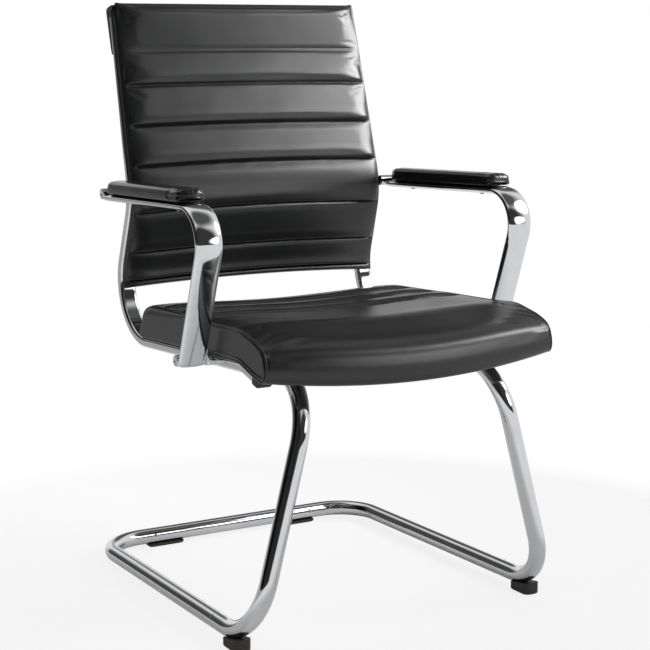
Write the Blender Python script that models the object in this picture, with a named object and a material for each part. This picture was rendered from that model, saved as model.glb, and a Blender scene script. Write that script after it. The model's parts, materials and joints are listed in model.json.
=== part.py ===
"""Guest chair on a cantilever base: chromed tube frame, channelled leather seat and back, padded arms.

The chair faces -Y and stands on z = 0 with the origin under the middle of its bounding box.
Every piece is a separate object; lengths are in metres and angles in degrees.
"""
import math

import bmesh
import bpy
from mathutils import Matrix, Vector

# Fits between pieces
GAP = 0.0003

# Side rail: one flat-oval tube a side, from the top of the back down and forward under the seat
RAIL_W = 0.0285
RAIL_T = 0.016
RAIL_WALL = 0.0015
RAIL_OUT_X = 0.250
RAIL_LEAN = 1.67
RAIL_LEAN_Z = 0.520
RAIL_TOP_Z = 0.946
LUMBAR_Z = 0.6453
UPPER_LEAN = 15.1
LOWER_LEAN = 17.9
HEEL_Y = 0.2771
KNEE_Y = -0.213
KNEE_Z = 0.427
SEAT_SLOPE = 2.77
RAIL_TIP_Y = -0.2495
FRONT_DROP = 15.2
LUMBAR_R = 0.115
HEEL_R = 0.0975
KNEE_R = 0.060
RAIL_PLUG_DEPTH = 0.012
RAIL_CAP_L = 0.0135
RAIL_CAP_DROP = 0.003
RAIL_CAP_ROUND = 0.002
RAIL_PLUG_HEAD_T = 0.0095

# Cantilever base: one bent round tube
TUBE_R = 0.0137
TUBE_WALL = 0.0018
BASE_FRONT_Y = -0.292
BASE_REAR_Y = 0.3143
BASE_FRONT_X = 0.2705
BASE_REAR_X = 0.2645
LEG_TOP_X = 0.1668
LEG_TOP_Y = -0.284
TOP_RUN_END_Y = 0.125
REAR_PAD_H = 0.0055
GLIDE_H = 0.0098
TOP_BEND_R = 0.098
FLOOR_BEND_R = 0.094
CORNER_R = 0.078

# Feet
GLIDE_W = 0.029
GLIDE_L = 0.050
GLIDE_Y = -0.231
GLIDE_CORNER = 0.010
GLIDE_FRONT_UP = 0.020
GLIDE_REAR_UP = 0.012
REAR_PAD_X = 0.137
REAR_PAD_L = 0.069
REAR_PAD_W = 0.021
REAR_PAD_SADDLE = 0.002
REAR_PAD_CORNER = 0.003
RIVET_R = 0.0032
RIVET_H = 0.0018
GLIDE_RIVET_Y = -0.165
REAR_RIVET_X = 0.160

# Cross members, and the bolts that hold the base tube to the seat's ones
SEAT_BAR_T = 0.004
SEAT_BAR_W = 0.040
SEAT_BAR_FRONT_Y = -0.150
SEAT_BAR_REAR_Y = 0.095
BASE_BOLT_R = 0.004
BASE_BOLT_HEAD_R = 0.0072
BASE_BOLT_HEAD_H = 0.0053
BASE_BOLT_FLANGE_R = 0.009
BASE_BOLT_FLANGE_T = 0.0015
BOLT_HOLE_CLEAR = 0.0005
BACK_BAR_W = 0.030
BACK_BAR_T = 0.0055
BACK_BAR_UPPER_DROP = 0.041
BACK_BAR_UPPER_Z = RAIL_TOP_Z - BACK_BAR_UPPER_DROP
BACK_BAR_LOWER_Z = 0.575
END_PLUG_DEPTH = 0.012
END_PLUG_HEAD = 0.003

# Boards and covers
SEAT_BOARD_T = 0.008
BACK_BOARD_T = 0.008
BOARD_SIDE_GAP = 0.0012
SEAT_BOARD_REAR_Y = 0.158
SEAT_BOARD_FRONT_Y = -0.212
BACK_BOARD_TOP_INSET = 0.004
BACK_BOARD_BOTTOM_Z = 0.512
COVER_T = 0.0035
COVER_BOTTOM_Z = 0.500
DUST_COVER_T = 0.0012
BOARD_SCREW_R = 0.004
BOARD_SCREW_H = 0.0022
BOARD_SCREW_Y = 0.126
BOARD_SCREW_PITCH = 0.026

# Seat cushion, heights above the rail's top face and lengths past the rail's tip
SEAT_OVERHANG = 0.0075
SEAT_REAR_OVERHANG = 0.001
SEAT_DRAW_IN = 0.003
SEAT_SEAM_H = 0.0515
SEAT_FRONT_RISE = 0.003
SEAT_CROWN = 0.004
SEAT_DISH = 0.0065
SEAT_REAR_Y = 0.163
SEAT_REAR_CORNER = 0.006
SEAT_REAR_ROUND = 0.012
SEAT_NOSE_SIDE = 0.053
SEAT_NOSE_BOW = 0.0229
SEAT_NOSE_ROUND = 0.048
SEAT_LIP_SIDE = 0.004
SEAT_LIP_DROOP = 0.0125
SEAT_CHANNELS = 3
SEAT_CHANNEL_REAR_Y = 0.075
SEAT_CHANNEL_PITCH = 0.070
SEAT_CHANNEL_DEPTH = 0.0045
SEAT_CHANNEL_W = 0.020
SEAT_STATIONS = (0.0, 0.42, 0.70, 0.87, 0.95, 0.985, 1.0)

# How late the crown, the channels and the rear corners fall off towards the sides, as powers of the share
SEAT_CROWN_POWER = 5
SEAT_CHANNEL_POWER = 8
SEAT_CORNER_POWER = 10

# Outlines as shares: back from the nose and up the front; across a channel and down into it
NOSE_SHAPE = ((0.146, 0.0), (0.02, 0.12), (0.0, 0.34), (0.10, 0.60), (0.38, 0.90), (1.0, 1.0))
REAR_SHAPE = ((1.0, 1.0), (0.45, 0.93), (0.10, 0.72), (0.0, 0.36))
GROOVE_SHAPE = ((0.5, 0.0), (0.2, 0.45), (0.0, 1.0), (-0.2, 0.45), (-0.5, 0.0))

# Back cushion, thickness in front of the rail
BACK_TOP_RISE = 0.018
BACK_TOP_Z = RAIL_TOP_Z + BACK_TOP_RISE
BACK_BOTTOM_Z = 0.488
BACK_EDGE_T = 0.0075
BACK_SEAM_T = 0.0095
BACK_PUFF = 0.0065
BACK_CHANNELS = 7
BACK_BOTTOM_ARCH = 0.008
BACK_SIDE_MARGIN = 0.0045
BACK_STATIONS = (0.0, 0.50, 0.80, 0.93, 0.975, 1.0)
BACK_HEM = 0.002
BACK_PUFF_POWER = 12

# A channel of the back from seam to seam, as shares of its height and of its swell
PUFF_SHAPE = ((0.0, 0.0), (0.10, 0.62), (0.30, 0.95), (0.62, 1.0), (0.90, 0.55))

# Pocket of leather over the top of the rails
POCKET_DROP = 0.063
POCKET_T = 0.0085
POCKET_LOW_T = 0.004
POCKET_ROUND = 0.002
POCKET_TAPER = 0.012
POCKET_SIDE_MARGIN = 0.0005

# Arms: one flat-oval tube a side, from a stub beside the back forward, down and back to the rail
ARM_RAIL_GAP = 0.0115
ARM_W = 0.045
ARM_T = 0.0135
ARM_WALL = 0.0018
ARM_X = RAIL_OUT_X + ARM_RAIL_GAP + ARM_W / 2
ARM_TOE_IN = 1.5
ARM_REAR_Z = 0.6512
ARM_RISE = 1.95
ARM_FRONT_Y = -0.2028
ARM_LEG_LEAN = 19.8
ARM_FOOT_Z = 0.4215
ARM_PLUG_T = 0.004
ARM_BEND_R = 0.054
REAR_STUB_Y = 0.195
REAR_STUB_Z = 0.6562
STUB_R = 0.009
STUB_NECK_R = 0.0055
STUB_RISE = 0.0015
STUB_CAP_T = 0.0035
STUB_CAP_ROUND = 0.0012
STUB_GROOVE = 0.0008
STUB_RECESS = 0.0025
ARM_REAR_Y = REAR_STUB_Y - STUB_R - ARM_PLUG_T - GAP
FOOT_GUSSET_LOW = 0.010
FOOT_GUSSET_H = 0.027
FOOT_GUSSET_T = 0.006
FOOT_GUSSET_LAP = 0.004

# Arm pads
PAD_W = 0.048
PAD_H = 0.0188
PAD_REAR_Y = 0.180
PAD_FRONT_Y = -0.125
PAD_REAR_ROUND = 0.024
PAD_FRONT_ROUND = 0.010
PAD_PLATE_T = 0.0025
PAD_PLATE_INSET = 0.003
PAD_SCREW_R = 0.0042
PAD_SCREW_H = 0.002
PAD_SCREW_INSET = 0.050

# A pad's end in plan and its section, as shares: in from the end and half width with height; across and up
PAD_END_SHAPE = ((0.0, 0.50, 0.52), (0.15, 0.78, 0.78), (0.45, 0.93, 0.94), (1.0, 1.0, 1.0))
PAD_SECTION = (
    (-0.90, 0.0), (0.90, 0.0), (1.0, 0.22), (1.0, 0.55), (0.90, 0.82), (0.55, 0.97),
    (0.0, 1.0), (-0.55, 0.97), (-0.90, 0.82), (-1.0, 0.55), (-1.0, 0.22),
)

# Mesh fineness
ARC_STEP = 15.0
OVAL_SIDES = 14
ROUND_SIDES = 12
HEAD_SIDES = 8

# A screw or rivet head's flat top, as a share of its radius
HEAD_CROWN = 0.6

SIDES = (("left", -1.0), ("right", 1.0))


def tan_deg(angle):
    """Tangent of an angle given in degrees."""
    return math.tan(math.radians(angle))


def seat_line_z(y):
    """Height of the rail's centre line, run straight on from the seat, at a distance y."""
    return KNEE_Z - (y - KNEE_Y) * tan_deg(SEAT_SLOPE)


def fillet_path(corners, radii):
    """Points of a polyline in which each inner corner is an arc of its own radius."""
    points = [corners[0].copy()]
    for before, corner, after, radius in zip(corners, corners[1:], corners[2:], radii):
        to_before = (before - corner).normalized()
        to_after = (after - corner).normalized()
        inside = to_before.angle(to_after)
        centre = corner + (to_before + to_after).normalized() * radius / math.sin(inside / 2)
        start = corner + to_before * radius / math.tan(inside / 2)
        turn = math.pi - inside
        axis = to_after.cross(to_before).normalized()
        count = max(2, math.ceil(math.degrees(turn) / ARC_STEP))
        for k in range(count + 1):
            spin = Matrix.Rotation(turn * k / count, 3, axis)
            points.append(centre + spin @ (start - centre))
    points.append(corners[-1].copy())
    return points


def rail_corners():
    """Corners of the rail's centre line in the plane x = 0, from the top of the back to the front tip."""
    heel_z = seat_line_z(HEEL_Y)
    lumbar_y = HEEL_Y - (LUMBAR_Z - heel_z) * tan_deg(LOWER_LEAN)
    top_y = lumbar_y + (RAIL_TOP_Z - LUMBAR_Z) * tan_deg(UPPER_LEAN)
    tip_z = KNEE_Z - (KNEE_Y - RAIL_TIP_Y) * tan_deg(FRONT_DROP)
    return [
        Vector((0.0, top_y, RAIL_TOP_Z)),
        Vector((0.0, lumbar_y, LUMBAR_Z)),
        Vector((0.0, HEEL_Y, heel_z)),
        Vector((0.0, KNEE_Y, KNEE_Z)),
        Vector((0.0, RAIL_TIP_Y, tip_z)),
    ]


class Carrier:
    """A flat curve that pieces follow: distance s along it and height n off it, towards the sitter."""

    def __init__(self, points):
        self.points = points
        self.marks = [0.0]
        for a, b in zip(points, points[1:]):
            self.marks.append(self.marks[-1] + (b - a).length)
        self.length = self.marks[-1]
        legs = [(b - a).normalized() for a, b in zip(points, points[1:])]
        self.ways = [legs[0]] + [(a + b).normalized() for a, b in zip(legs, legs[1:])] + [legs[-1]]
        self.normals = [Vector((0.0, way.z, -way.y)) for way in self.ways]

    def place(self, s, n=0.0):
        """Point at distance s along the curve, n off it; past an end the curve runs on straight."""
        if s <= 0.0:
            return self.points[0] + self.ways[0] * s + self.normals[0] * n
        if s >= self.length:
            return self.points[-1] + self.ways[-1] * (s - self.length) + self.normals[-1] * n
        k = max(i for i, mark in enumerate(self.marks) if mark <= s)
        share = (s - self.marks[k]) / (self.marks[k + 1] - self.marks[k])
        point = self.points[k].lerp(self.points[k + 1], share)
        normal = self.normals[k].lerp(self.normals[k + 1], share).normalized()
        return point + normal * n

    def normal(self, s):
        """Direction towards the sitter at distance s."""
        return (self.place(s, 1.0) - self.place(s, 0.0)).normalized()

    def between(self, start, end):
        """Distances from start to end, with each of the curve's own points between them."""
        inner = [mark for mark in self.marks if start + 1e-5 < mark < end - 1e-5]
        return [start] + inner + [end]

    def at_height(self, z):
        """Distance at which the curve, on its way down, passes the height z."""
        for k, (a, b) in enumerate(zip(self.points, self.points[1:])):
            if b.z <= z <= a.z:
                return self.marks[k] + (a.z - z) / (a.z - b.z) * (self.marks[k + 1] - self.marks[k])
        return (self.points[0].z - z) / -self.ways[0].z

    def at_seat_y(self, y):
        """Distance at which the seat's part of the curve passes the depth y."""
        for k in range(len(self.points) - 2, -1, -1):
            a, b = self.points[k], self.points[k + 1]
            if b.y <= y <= a.y:
                return self.marks[k] + (a.y - y) / (a.y - b.y) * (self.marks[k + 1] - self.marks[k])
        return self.length + (self.points[-1].y - y) / -self.ways[-1].y


def rail_out_x(z):
    """Distance of the rail's outer side from the middle; the rails lean in above the seat."""
    return RAIL_OUT_X - max(0.0, z - RAIL_LEAN_Z) * tan_deg(RAIL_LEAN)


def between_rails(z):
    """Half the clear width between the rails, less the play of what lies between them."""
    return rail_out_x(z) - RAIL_W - BOARD_SIDE_GAP


def colour(name, rgb, metallic, roughness):
    """A material with the colour and gloss of one finish."""
    material = bpy.data.materials.new(name)
    material.use_nodes = True
    shader = material.node_tree.nodes["Principled BSDF"]
    shader.inputs["Base Color"].default_value = (*rgb, 1.0)
    shader.inputs["Metallic"].default_value = metallic
    shader.inputs["Roughness"].default_value = roughness
    material.diffuse_color = (*rgb, 1.0)
    return material


FINISHES = {
    "chrome": ((0.78, 0.79, 0.80), 1.0, 0.08),
    "leather": ((0.022, 0.023, 0.024), 0.0, 0.38),
    "black_plastic": ((0.020, 0.020, 0.021), 0.0, 0.45),
    "steel": ((0.30, 0.30, 0.31), 1.0, 0.40),
    "plywood": ((0.52, 0.38, 0.22), 0.0, 0.70),
    "dust_cloth": ((0.018, 0.018, 0.018), 0.0, 0.95),
    "foot_rubber": ((0.040, 0.034, 0.030), 0.0, 0.60),
}


def keep(name, mesh_data, finish, smooth=True):
    """Turns a bmesh into a named object with its own material."""
    bmesh.ops.recalc_face_normals(mesh_data, faces=mesh_data.faces)
    mesh = bpy.data.meshes.new(name)
    mesh_data.to_mesh(mesh)
    mesh_data.free()
    if smooth:
        mesh.shade_smooth()
        mesh.set_sharp_from_angle(angle=math.radians(35))
    piece = bpy.data.objects.new(name, mesh)
    bpy.context.collection.objects.link(piece)
    mesh.materials.append(colour(name, *FINISHES[finish]))
    return piece


def loft(rings):
    """Closed skin through rings that have the same number of points each."""
    mesh_data = bmesh.new()
    rows = [[mesh_data.verts.new(point) for point in ring] for ring in rings]
    for row, following in zip(rows, rows[1:]):
        for k in range(len(row)):
            j = (k + 1) % len(row)
            mesh_data.faces.new((row[k], row[j], following[j], following[k]))
    mesh_data.faces.new(rows[0])
    mesh_data.faces.new(list(reversed(rows[-1])))
    return mesh_data


def hollow_loft(outer, inner):
    """A tube's skin: outer and inner rings, joined by a flat band at each end."""
    mesh_data = bmesh.new()
    rows_out = [[mesh_data.verts.new(point) for point in ring] for ring in outer]
    rows_in = [[mesh_data.verts.new(point) for point in ring] for ring in inner]
    for rows, flip in ((rows_out, False), (rows_in, True)):
        for row, following in zip(rows, rows[1:]):
            for k in range(len(row)):
                j = (k + 1) % len(row)
                face = (row[k], row[j], following[j], following[k])
                mesh_data.faces.new(tuple(reversed(face)) if flip else face)
    for first, second, flip in ((rows_out[0], rows_in[0], True), (rows_out[-1], rows_in[-1], False)):
        for k in range(len(first)):
            j = (k + 1) % len(first)
            face = (first[k], first[j], second[j], second[k])
            mesh_data.faces.new(tuple(reversed(face)) if flip else face)
    return mesh_data


def oval(width, thickness, sides=OVAL_SIDES):
    """Flat-oval outline: two half circles of the thickness, joined by straight sides."""
    radius = thickness / 2
    half = width / 2 - radius
    outline = []
    for end, turn in ((1.0, -90.0), (-1.0, 90.0)):
        for k in range(sides // 2):
            angle = math.radians(turn + 180.0 * k / (sides // 2 - 1))
            outline.append((end * half + radius * math.cos(angle), radius * math.sin(angle)))
    return outline


def circle(radius, sides=ROUND_SIDES):
    """Points of a circle."""
    return [
        (radius * math.cos(2 * math.pi * k / sides), radius * math.sin(2 * math.pi * k / sides))
        for k in range(sides)
    ]


def boxed(corners_low, corners_high):
    """A block between two opposite corners."""
    low, high = Vector(corners_low), Vector(corners_high)
    ring = [(low.x, low.y), (high.x, low.y), (high.x, high.y), (low.x, high.y)]
    return loft([[Vector((x, y, z)) for x, y in ring] for z in (low.z, high.z)])


def disc_stack(levels, sides=ROUND_SIDES):
    """A turned solid along +Z from (height, radius) levels."""
    return loft([[Vector((x, y, z)) for x, y in circle(radius, sides)] for z, radius in levels])


def frame_matrix(origin, across, along, up):
    """Placement whose axes are across, along and up."""
    matrix = Matrix((across, along, up)).transposed().to_4x4()
    matrix.translation = origin
    return matrix


def seat_frame(y):
    """Placement on the rail's centre line under the seat: X across, Y to the rear, Z to the sitter."""
    slope = math.radians(SEAT_SLOPE)
    along = Vector((0.0, math.cos(slope), -math.sin(slope)))
    up = Vector((0.0, math.sin(slope), math.cos(slope)))
    return frame_matrix(Vector((0.0, y, seat_line_z(y))), Vector((1.0, 0.0, 0.0)), along, up)


def merge(target, source):
    """Adds the shapes of one bmesh to another."""
    mesh = bpy.data.meshes.new("part_of_cutter")
    source.to_mesh(mesh)
    source.free()
    target.from_mesh(mesh)
    bpy.data.meshes.remove(mesh)


def moved(shape, matrix):
    """Shape carried to a placement."""
    bmesh.ops.transform(shape, matrix=matrix, verts=shape.verts)
    return shape


def drill(piece, rods):
    """Cuts the rods' shapes out of a piece."""
    cutter = keep(piece.name + "_holes", rods, "steel")
    cutter.hide_render = True
    cutter.display_type = "WIRE"
    cut = piece.modifiers.new("Holes", "BOOLEAN")
    cut.operation = "DIFFERENCE"
    cut.solver = "EXACT"
    cut.object = cutter


def rail_ring(carrier, shape, s, side):
    """A rail section's points at distance s along the carrier, moved out to one side."""
    points = []
    for a, b in shape:
        point = carrier.place(s, b)
        point.x = side * (rail_out_x(point.z) - RAIL_W / 2 - a)
        points.append(point)
    return points


def build_rails(carrier):
    """The two side rails with the plug in the top end and the cap over the front end of each."""
    outline = oval(RAIL_W, RAIL_T)
    bore = oval(RAIL_W - 2 * RAIL_WALL, RAIL_T - 2 * RAIL_WALL)
    plug = oval(RAIL_W - 2 * (RAIL_WALL + GAP), RAIL_T - 2 * (RAIL_WALL + GAP))
    cap_face = [(a, b - RAIL_CAP_DROP if b < 0 else b) for a, b in outline]
    nose_w = 1 - 2 * RAIL_CAP_ROUND / RAIL_W
    nose_t = 1 - 2 * RAIL_CAP_ROUND / RAIL_T
    cap_nose = [(a * nose_w, b * nose_t) for a, b in cap_face]
    end = carrier.length
    for word, side in SIDES:
        outer = [rail_ring(carrier, outline, s, side) for s in carrier.marks]
        inner = [rail_ring(carrier, bore, s, side) for s in carrier.marks]
        keep("side_rail_" + word, hollow_loft(outer, inner), "chrome")
        cap = [
            rail_ring(carrier, plug, end - RAIL_PLUG_DEPTH, side),
            rail_ring(carrier, plug, end + GAP, side),
            rail_ring(carrier, cap_face, end + GAP, side),
            rail_ring(carrier, cap_face, end + RAIL_CAP_L - RAIL_CAP_ROUND, side),
            rail_ring(carrier, cap_nose, end + RAIL_CAP_L, side),
        ]
        keep("rail_front_cap_" + word, loft(cap), "black_plastic")
        top = [
            rail_ring(carrier, plug, RAIL_PLUG_DEPTH, side),
            rail_ring(carrier, plug, -GAP, side),
            rail_ring(carrier, outline, -GAP, side),
            rail_ring(carrier, outline, -GAP - RAIL_PLUG_HEAD_T, side),
        ]
        keep("rail_top_plug_" + word, loft(top), "black_plastic")


def strip(carrier, start, end, low, high, half_width):
    """A sheet that follows the carrier from start to end, between two heights off it."""
    rings = []
    for s in carrier.between(start, end):
        bottom = carrier.place(s, low)
        top = carrier.place(s, high)
        half = half_width(carrier.place(s).z)
        rings.append([
            Vector((-half, bottom.y, bottom.z)),
            Vector((half, bottom.y, bottom.z)),
            Vector((half, top.y, top.z)),
            Vector((-half, top.y, top.z)),
        ])
    return loft(rings)


def build_boards(carrier):
    """Seat and back boards between the rails, the cover behind the back and the cloth under the seat."""
    face = RAIL_T / 2
    seat_start = carrier.at_seat_y(SEAT_BOARD_REAR_Y)
    seat_end = carrier.at_seat_y(SEAT_BOARD_FRONT_Y)
    board = strip(carrier, seat_start, seat_end, face - SEAT_BOARD_T, face, between_rails)
    keep("seat_board", board, "plywood", smooth=False)
    board_end = carrier.at_height(BACK_BOARD_BOTTOM_Z)
    board = strip(carrier, BACK_BOARD_TOP_INSET, board_end, face - BACK_BOARD_T, face, between_rails)
    keep("back_board", board, "plywood", smooth=False)
    behind_bars = face - BACK_BOARD_T - GAP - BACK_BAR_T - GAP
    cover_start = POCKET_DROP + GAP
    cover_end = carrier.at_height(COVER_BOTTOM_Z)
    cover = strip(carrier, cover_start, cover_end, behind_bars - COVER_T, behind_bars, between_rails)
    keep("back_rear_cover", cover, "leather")
    bar_half = SEAT_BAR_W / 2 + GAP
    cloth_start = carrier.at_seat_y(SEAT_BAR_REAR_Y - bar_half)
    cloth_end = carrier.at_seat_y(SEAT_BAR_FRONT_Y + bar_half)
    under = face - SEAT_BOARD_T - GAP
    cloth = strip(carrier, cloth_start, cloth_end, under - DUST_COVER_T, under, between_rails)
    keep("seat_dust_cover", cloth, "dust_cloth", smooth=False)


def build_pocket(carrier):
    """The leather pocket over the top of the back: a lid on both rails and a flap behind them."""
    face = RAIL_T / 2
    behind = -face - GAP
    top_s = carrier.at_height(BACK_TOP_Z)
    lid_s = -GAP - RAIL_PLUG_HEAD_T - GAP
    profile = [
        (top_s, face),
        (top_s, behind),
        (top_s + POCKET_ROUND, behind - POCKET_T + POCKET_ROUND / 2),
        (top_s + 3 * POCKET_ROUND, behind - POCKET_T),
        (POCKET_DROP - POCKET_TAPER, behind - POCKET_LOW_T),
        (POCKET_DROP, behind - POCKET_LOW_T / 3),
        (POCKET_DROP, behind),
        (lid_s, behind),
        (lid_s, face),
    ]
    rings = []
    for share in (-1.0, 1.0):
        ring = []
        for s, n in profile:
            point = carrier.place(s, n)
            point.x = share * (rail_out_x(point.z) - POCKET_SIDE_MARGIN)
            ring.append(point)
        rings.append(ring)
    keep("back_top_pocket", loft(rings), "leather")


def seat_bar_top():
    """Height of the seat's cross bars' upper face over the rail's centre line, close under the board."""
    return RAIL_T / 2 - SEAT_BOARD_T - GAP


def base_top_drop():
    """How far the base tube's centre line lies under the rail's, close under the cross bars."""
    return SEAT_BAR_T + GAP + TUBE_R - seat_bar_top()


def bolt_rods(radius, low, high):
    """A rod along Z at each place where a bolt joins the base tube to a cross bar."""
    rods = bmesh.new()
    for y in (SEAT_BAR_FRONT_Y, SEAT_BAR_REAR_Y):
        for _, side in SIDES:
            rod = disc_stack([(low, radius), (high, radius)])
            merge(rods, moved(rod, seat_frame(y) @ Matrix.Translation((side * LEG_TOP_X, 0.0, 0.0))))
    return rods


def build_cross_members():
    """Flat bars between the rails, and the bolts that pull the base tube up against them."""
    top = seat_bar_top()
    bottom = top - SEAT_BAR_T
    flange_top = -base_top_drop() - TUBE_R - GAP
    bar_half = clear_width(KNEE_Z)
    half_w = SEAT_BAR_W / 2
    for word, y in (("front", SEAT_BAR_FRONT_Y), ("rear", SEAT_BAR_REAR_Y)):
        placement = seat_frame(y)
        shape = moved(boxed((-bar_half, -half_w, bottom), (bar_half, half_w, top)), placement)
        bar = keep("seat_crossbar_" + word, shape, "steel", smooth=False)
        drill(bar, bolt_rods(BASE_BOLT_R + BOLT_HOLE_CLEAR, bottom - SEAT_BAR_T, top + SEAT_BAR_T))
        for bolt_side, side in SIDES:
            spot = placement @ Matrix.Translation((side * LEG_TOP_X, 0.0, 0.0))
            shape = moved(flange_bolt(flange_top, top), spot)
            keep("base_bolt_" + word + "_" + bolt_side, shape, "steel")


def hexagon(radius):
    """A hexagon's corners and edge middles, as many points as a round section has."""
    points = []
    for k, (x, y) in enumerate(circle(radius)):
        inset = 1.0 if k % 2 == 0 else math.cos(math.pi / 6)
        points.append((x * inset, y * inset))
    return points


def flange_bolt(flange_top, end):
    """A hexagon-headed bolt along Z, head down, from its flange's upper face to the end of its stem."""
    under = flange_top - BASE_BOLT_FLANGE_T
    levels = (
        (under - BASE_BOLT_HEAD_H, hexagon(BASE_BOLT_HEAD_R)),
        (under, hexagon(BASE_BOLT_HEAD_R)),
        (under, circle(BASE_BOLT_FLANGE_R)),
        (flange_top, circle(BASE_BOLT_FLANGE_R)),
        (flange_top, circle(BASE_BOLT_R)),
        (end, circle(BASE_BOLT_R)),
    )
    return loft([[Vector((x, y, z)) for x, y in outline] for z, outline in levels])


def clear_width(z):
    """Half the clear width between the rails."""
    return rail_out_x(z) - RAIL_W - GAP


def build_back_bars(carrier):
    """The two flat bars that cross the back behind its board."""
    high = RAIL_T / 2 - BACK_BOARD_T - GAP
    for word, z in (("upper", BACK_BAR_UPPER_Z), ("lower", BACK_BAR_LOWER_Z)):
        middle = carrier.at_height(z)
        ends = (middle - BACK_BAR_W / 2, middle + BACK_BAR_W / 2)
        bar = strip(carrier, *ends, high - BACK_BAR_T, high, clear_width)
        keep("back_crossbar_" + word, bar, "steel", smooth=False)


def mirrored(shares):
    """Shares of the half width from the left edge to the right one."""
    return [-share for share in reversed(shares[1:])] + list(shares)


def seat_profile(carrier, share):
    """Side outline of the seat cushion, as (s, n) points, at a share of its half width."""
    inward = 1.0 - share * share
    face = RAIL_T / 2
    base = face + GAP
    full_rear = carrier.at_seat_y(SEAT_REAR_Y)
    rear = full_rear + SEAT_REAR_CORNER * abs(share) ** SEAT_CORNER_POWER
    cap_end = carrier.length + RAIL_CAP_L + 2 * GAP
    marks = [s for s in carrier.marks if full_rear + SEAT_REAR_CORNER < s < cap_end]
    under = [(s, base) for s in [rear] + marks + [cap_end]]
    crown = SEAT_CROWN * (1.0 - abs(share) ** SEAT_CROWN_POWER)
    top = face + SEAT_SEAM_H + crown - SEAT_DISH * inward * inward
    lip = face + SEAT_LIP_SIDE - SEAT_LIP_DROOP * inward
    nose = carrier.length + SEAT_NOSE_SIDE + SEAT_NOSE_BOW * inward
    height = top + SEAT_FRONT_RISE - lip
    front = [(nose - SEAT_NOSE_ROUND * back, lip + height * up) for back, up in NOSE_SHAPE]
    depth = SEAT_CHANNEL_DEPTH * (1.0 - abs(share) ** SEAT_CHANNEL_POWER)
    seam_ys = [SEAT_CHANNEL_REAR_Y - SEAT_CHANNEL_PITCH * k for k in reversed(range(SEAT_CHANNELS))]
    seams = [carrier.at_seat_y(y) for y in seam_ys]
    knee = carrier.at_seat_y(KNEE_Y)
    over = [(knee, top + SEAT_FRONT_RISE / 3), ((knee + seams[0]) / 2, top)]
    for seam, following in zip(seams, seams[1:] + [None]):
        over += [(seam + across * SEAT_CHANNEL_W, top - depth * down) for across, down in GROOVE_SHAPE]
        if following:
            over.append(((seam + following) / 2, top))
    end = [(rear + SEAT_REAR_ROUND * on, face + (top - face) * up) for on, up in REAR_SHAPE]
    return under + front + over + end


def build_seat_cushion(carrier):
    """The boxed seat cushion: crowned, bowed and drooping in front, with its sewn channels across."""
    start = carrier.at_seat_y(SEAT_REAR_Y)
    end = carrier.length + SEAT_NOSE_SIDE
    rings = []
    for share in mirrored(SEAT_STATIONS):
        ring = []
        for s, n in seat_profile(carrier, share):
            run = min(1.0, max(0.0, (s - start) / (end - start)))
            overhang = SEAT_REAR_OVERHANG + (SEAT_OVERHANG - SEAT_REAR_OVERHANG) * run
            point = carrier.place(s, n)
            point.x = share * (RAIL_OUT_X + overhang - SEAT_DRAW_IN * math.sin(math.pi * run))
            ring.append(point)
        rings.append(ring)
    keep("seat_cushion", loft(rings), "leather")


def back_profile(carrier, share):
    """Side outline of the back cushion, as (s, n) points, at a share of its half width."""
    base = RAIL_T / 2 + GAP
    top_s = carrier.at_height(BACK_TOP_Z)
    low_s = carrier.at_height(BACK_BOTTOM_Z)
    bottom_s = low_s - BACK_BOTTOM_ARCH * (1.0 - share * share)
    marks = [s for s in carrier.marks if top_s < s < low_s - BACK_BOTTOM_ARCH]
    behind = [(s, base) for s in [top_s] + marks + [bottom_s]]
    fade = 1.0 - abs(share) ** BACK_PUFF_POWER
    seam = base + BACK_EDGE_T + (BACK_SEAM_T - BACK_EDGE_T) * fade
    pitch = (bottom_s - top_s) / BACK_CHANNELS
    front = [(bottom_s + BACK_HEM, base + BACK_EDGE_T / 2)]
    for k in reversed(range(BACK_CHANNELS)):
        low = top_s + pitch * (k + 1)
        front += [(low - pitch * up, seam + BACK_PUFF * swell * fade) for up, swell in PUFF_SHAPE]
    front += [(top_s, seam), (top_s - BACK_HEM, base + BACK_EDGE_T / 2)]
    return behind + front


def build_back_cushion(carrier):
    """The thin back cushion with its row of sewn channels."""
    rings = []
    for share in mirrored(BACK_STATIONS):
        ring = []
        for s, n in back_profile(carrier, share):
            point = carrier.place(s, n)
            point.x = share * (rail_out_x(point.z) - BACK_SIDE_MARGIN)
            ring.append(point)
        rings.append(ring)
    keep("back_cushion", loft(rings), "leather")


def dome_head(radius, height):
    """A low screw or rivet head that stands up along Z."""
    levels = [(0.0, radius), (height / 2, radius), (height, HEAD_CROWN * radius)]
    return disc_stack(levels, HEAD_SIDES)


def build_board_screws(carrier):
    """Screw heads under the rails that hold the seat board."""
    across = Vector((1.0, 0.0, 0.0))
    for word, side in SIDES:
        for place_word, y in (("front", BOARD_SCREW_Y), ("rear", BOARD_SCREW_Y + BOARD_SCREW_PITCH)):
            s = carrier.at_seat_y(y)
            spot = carrier.place(s, -RAIL_T / 2 - GAP)
            spot.x = side * (rail_out_x(spot.z) - RAIL_W / 2)
            down = -carrier.normal(s)
            matrix = frame_matrix(spot, across, down.cross(across), down)
            shape = moved(dome_head(BOARD_SCREW_R, BOARD_SCREW_H), matrix)
            keep("seat_screw_" + word + "_" + place_word, shape, "steel")


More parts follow.
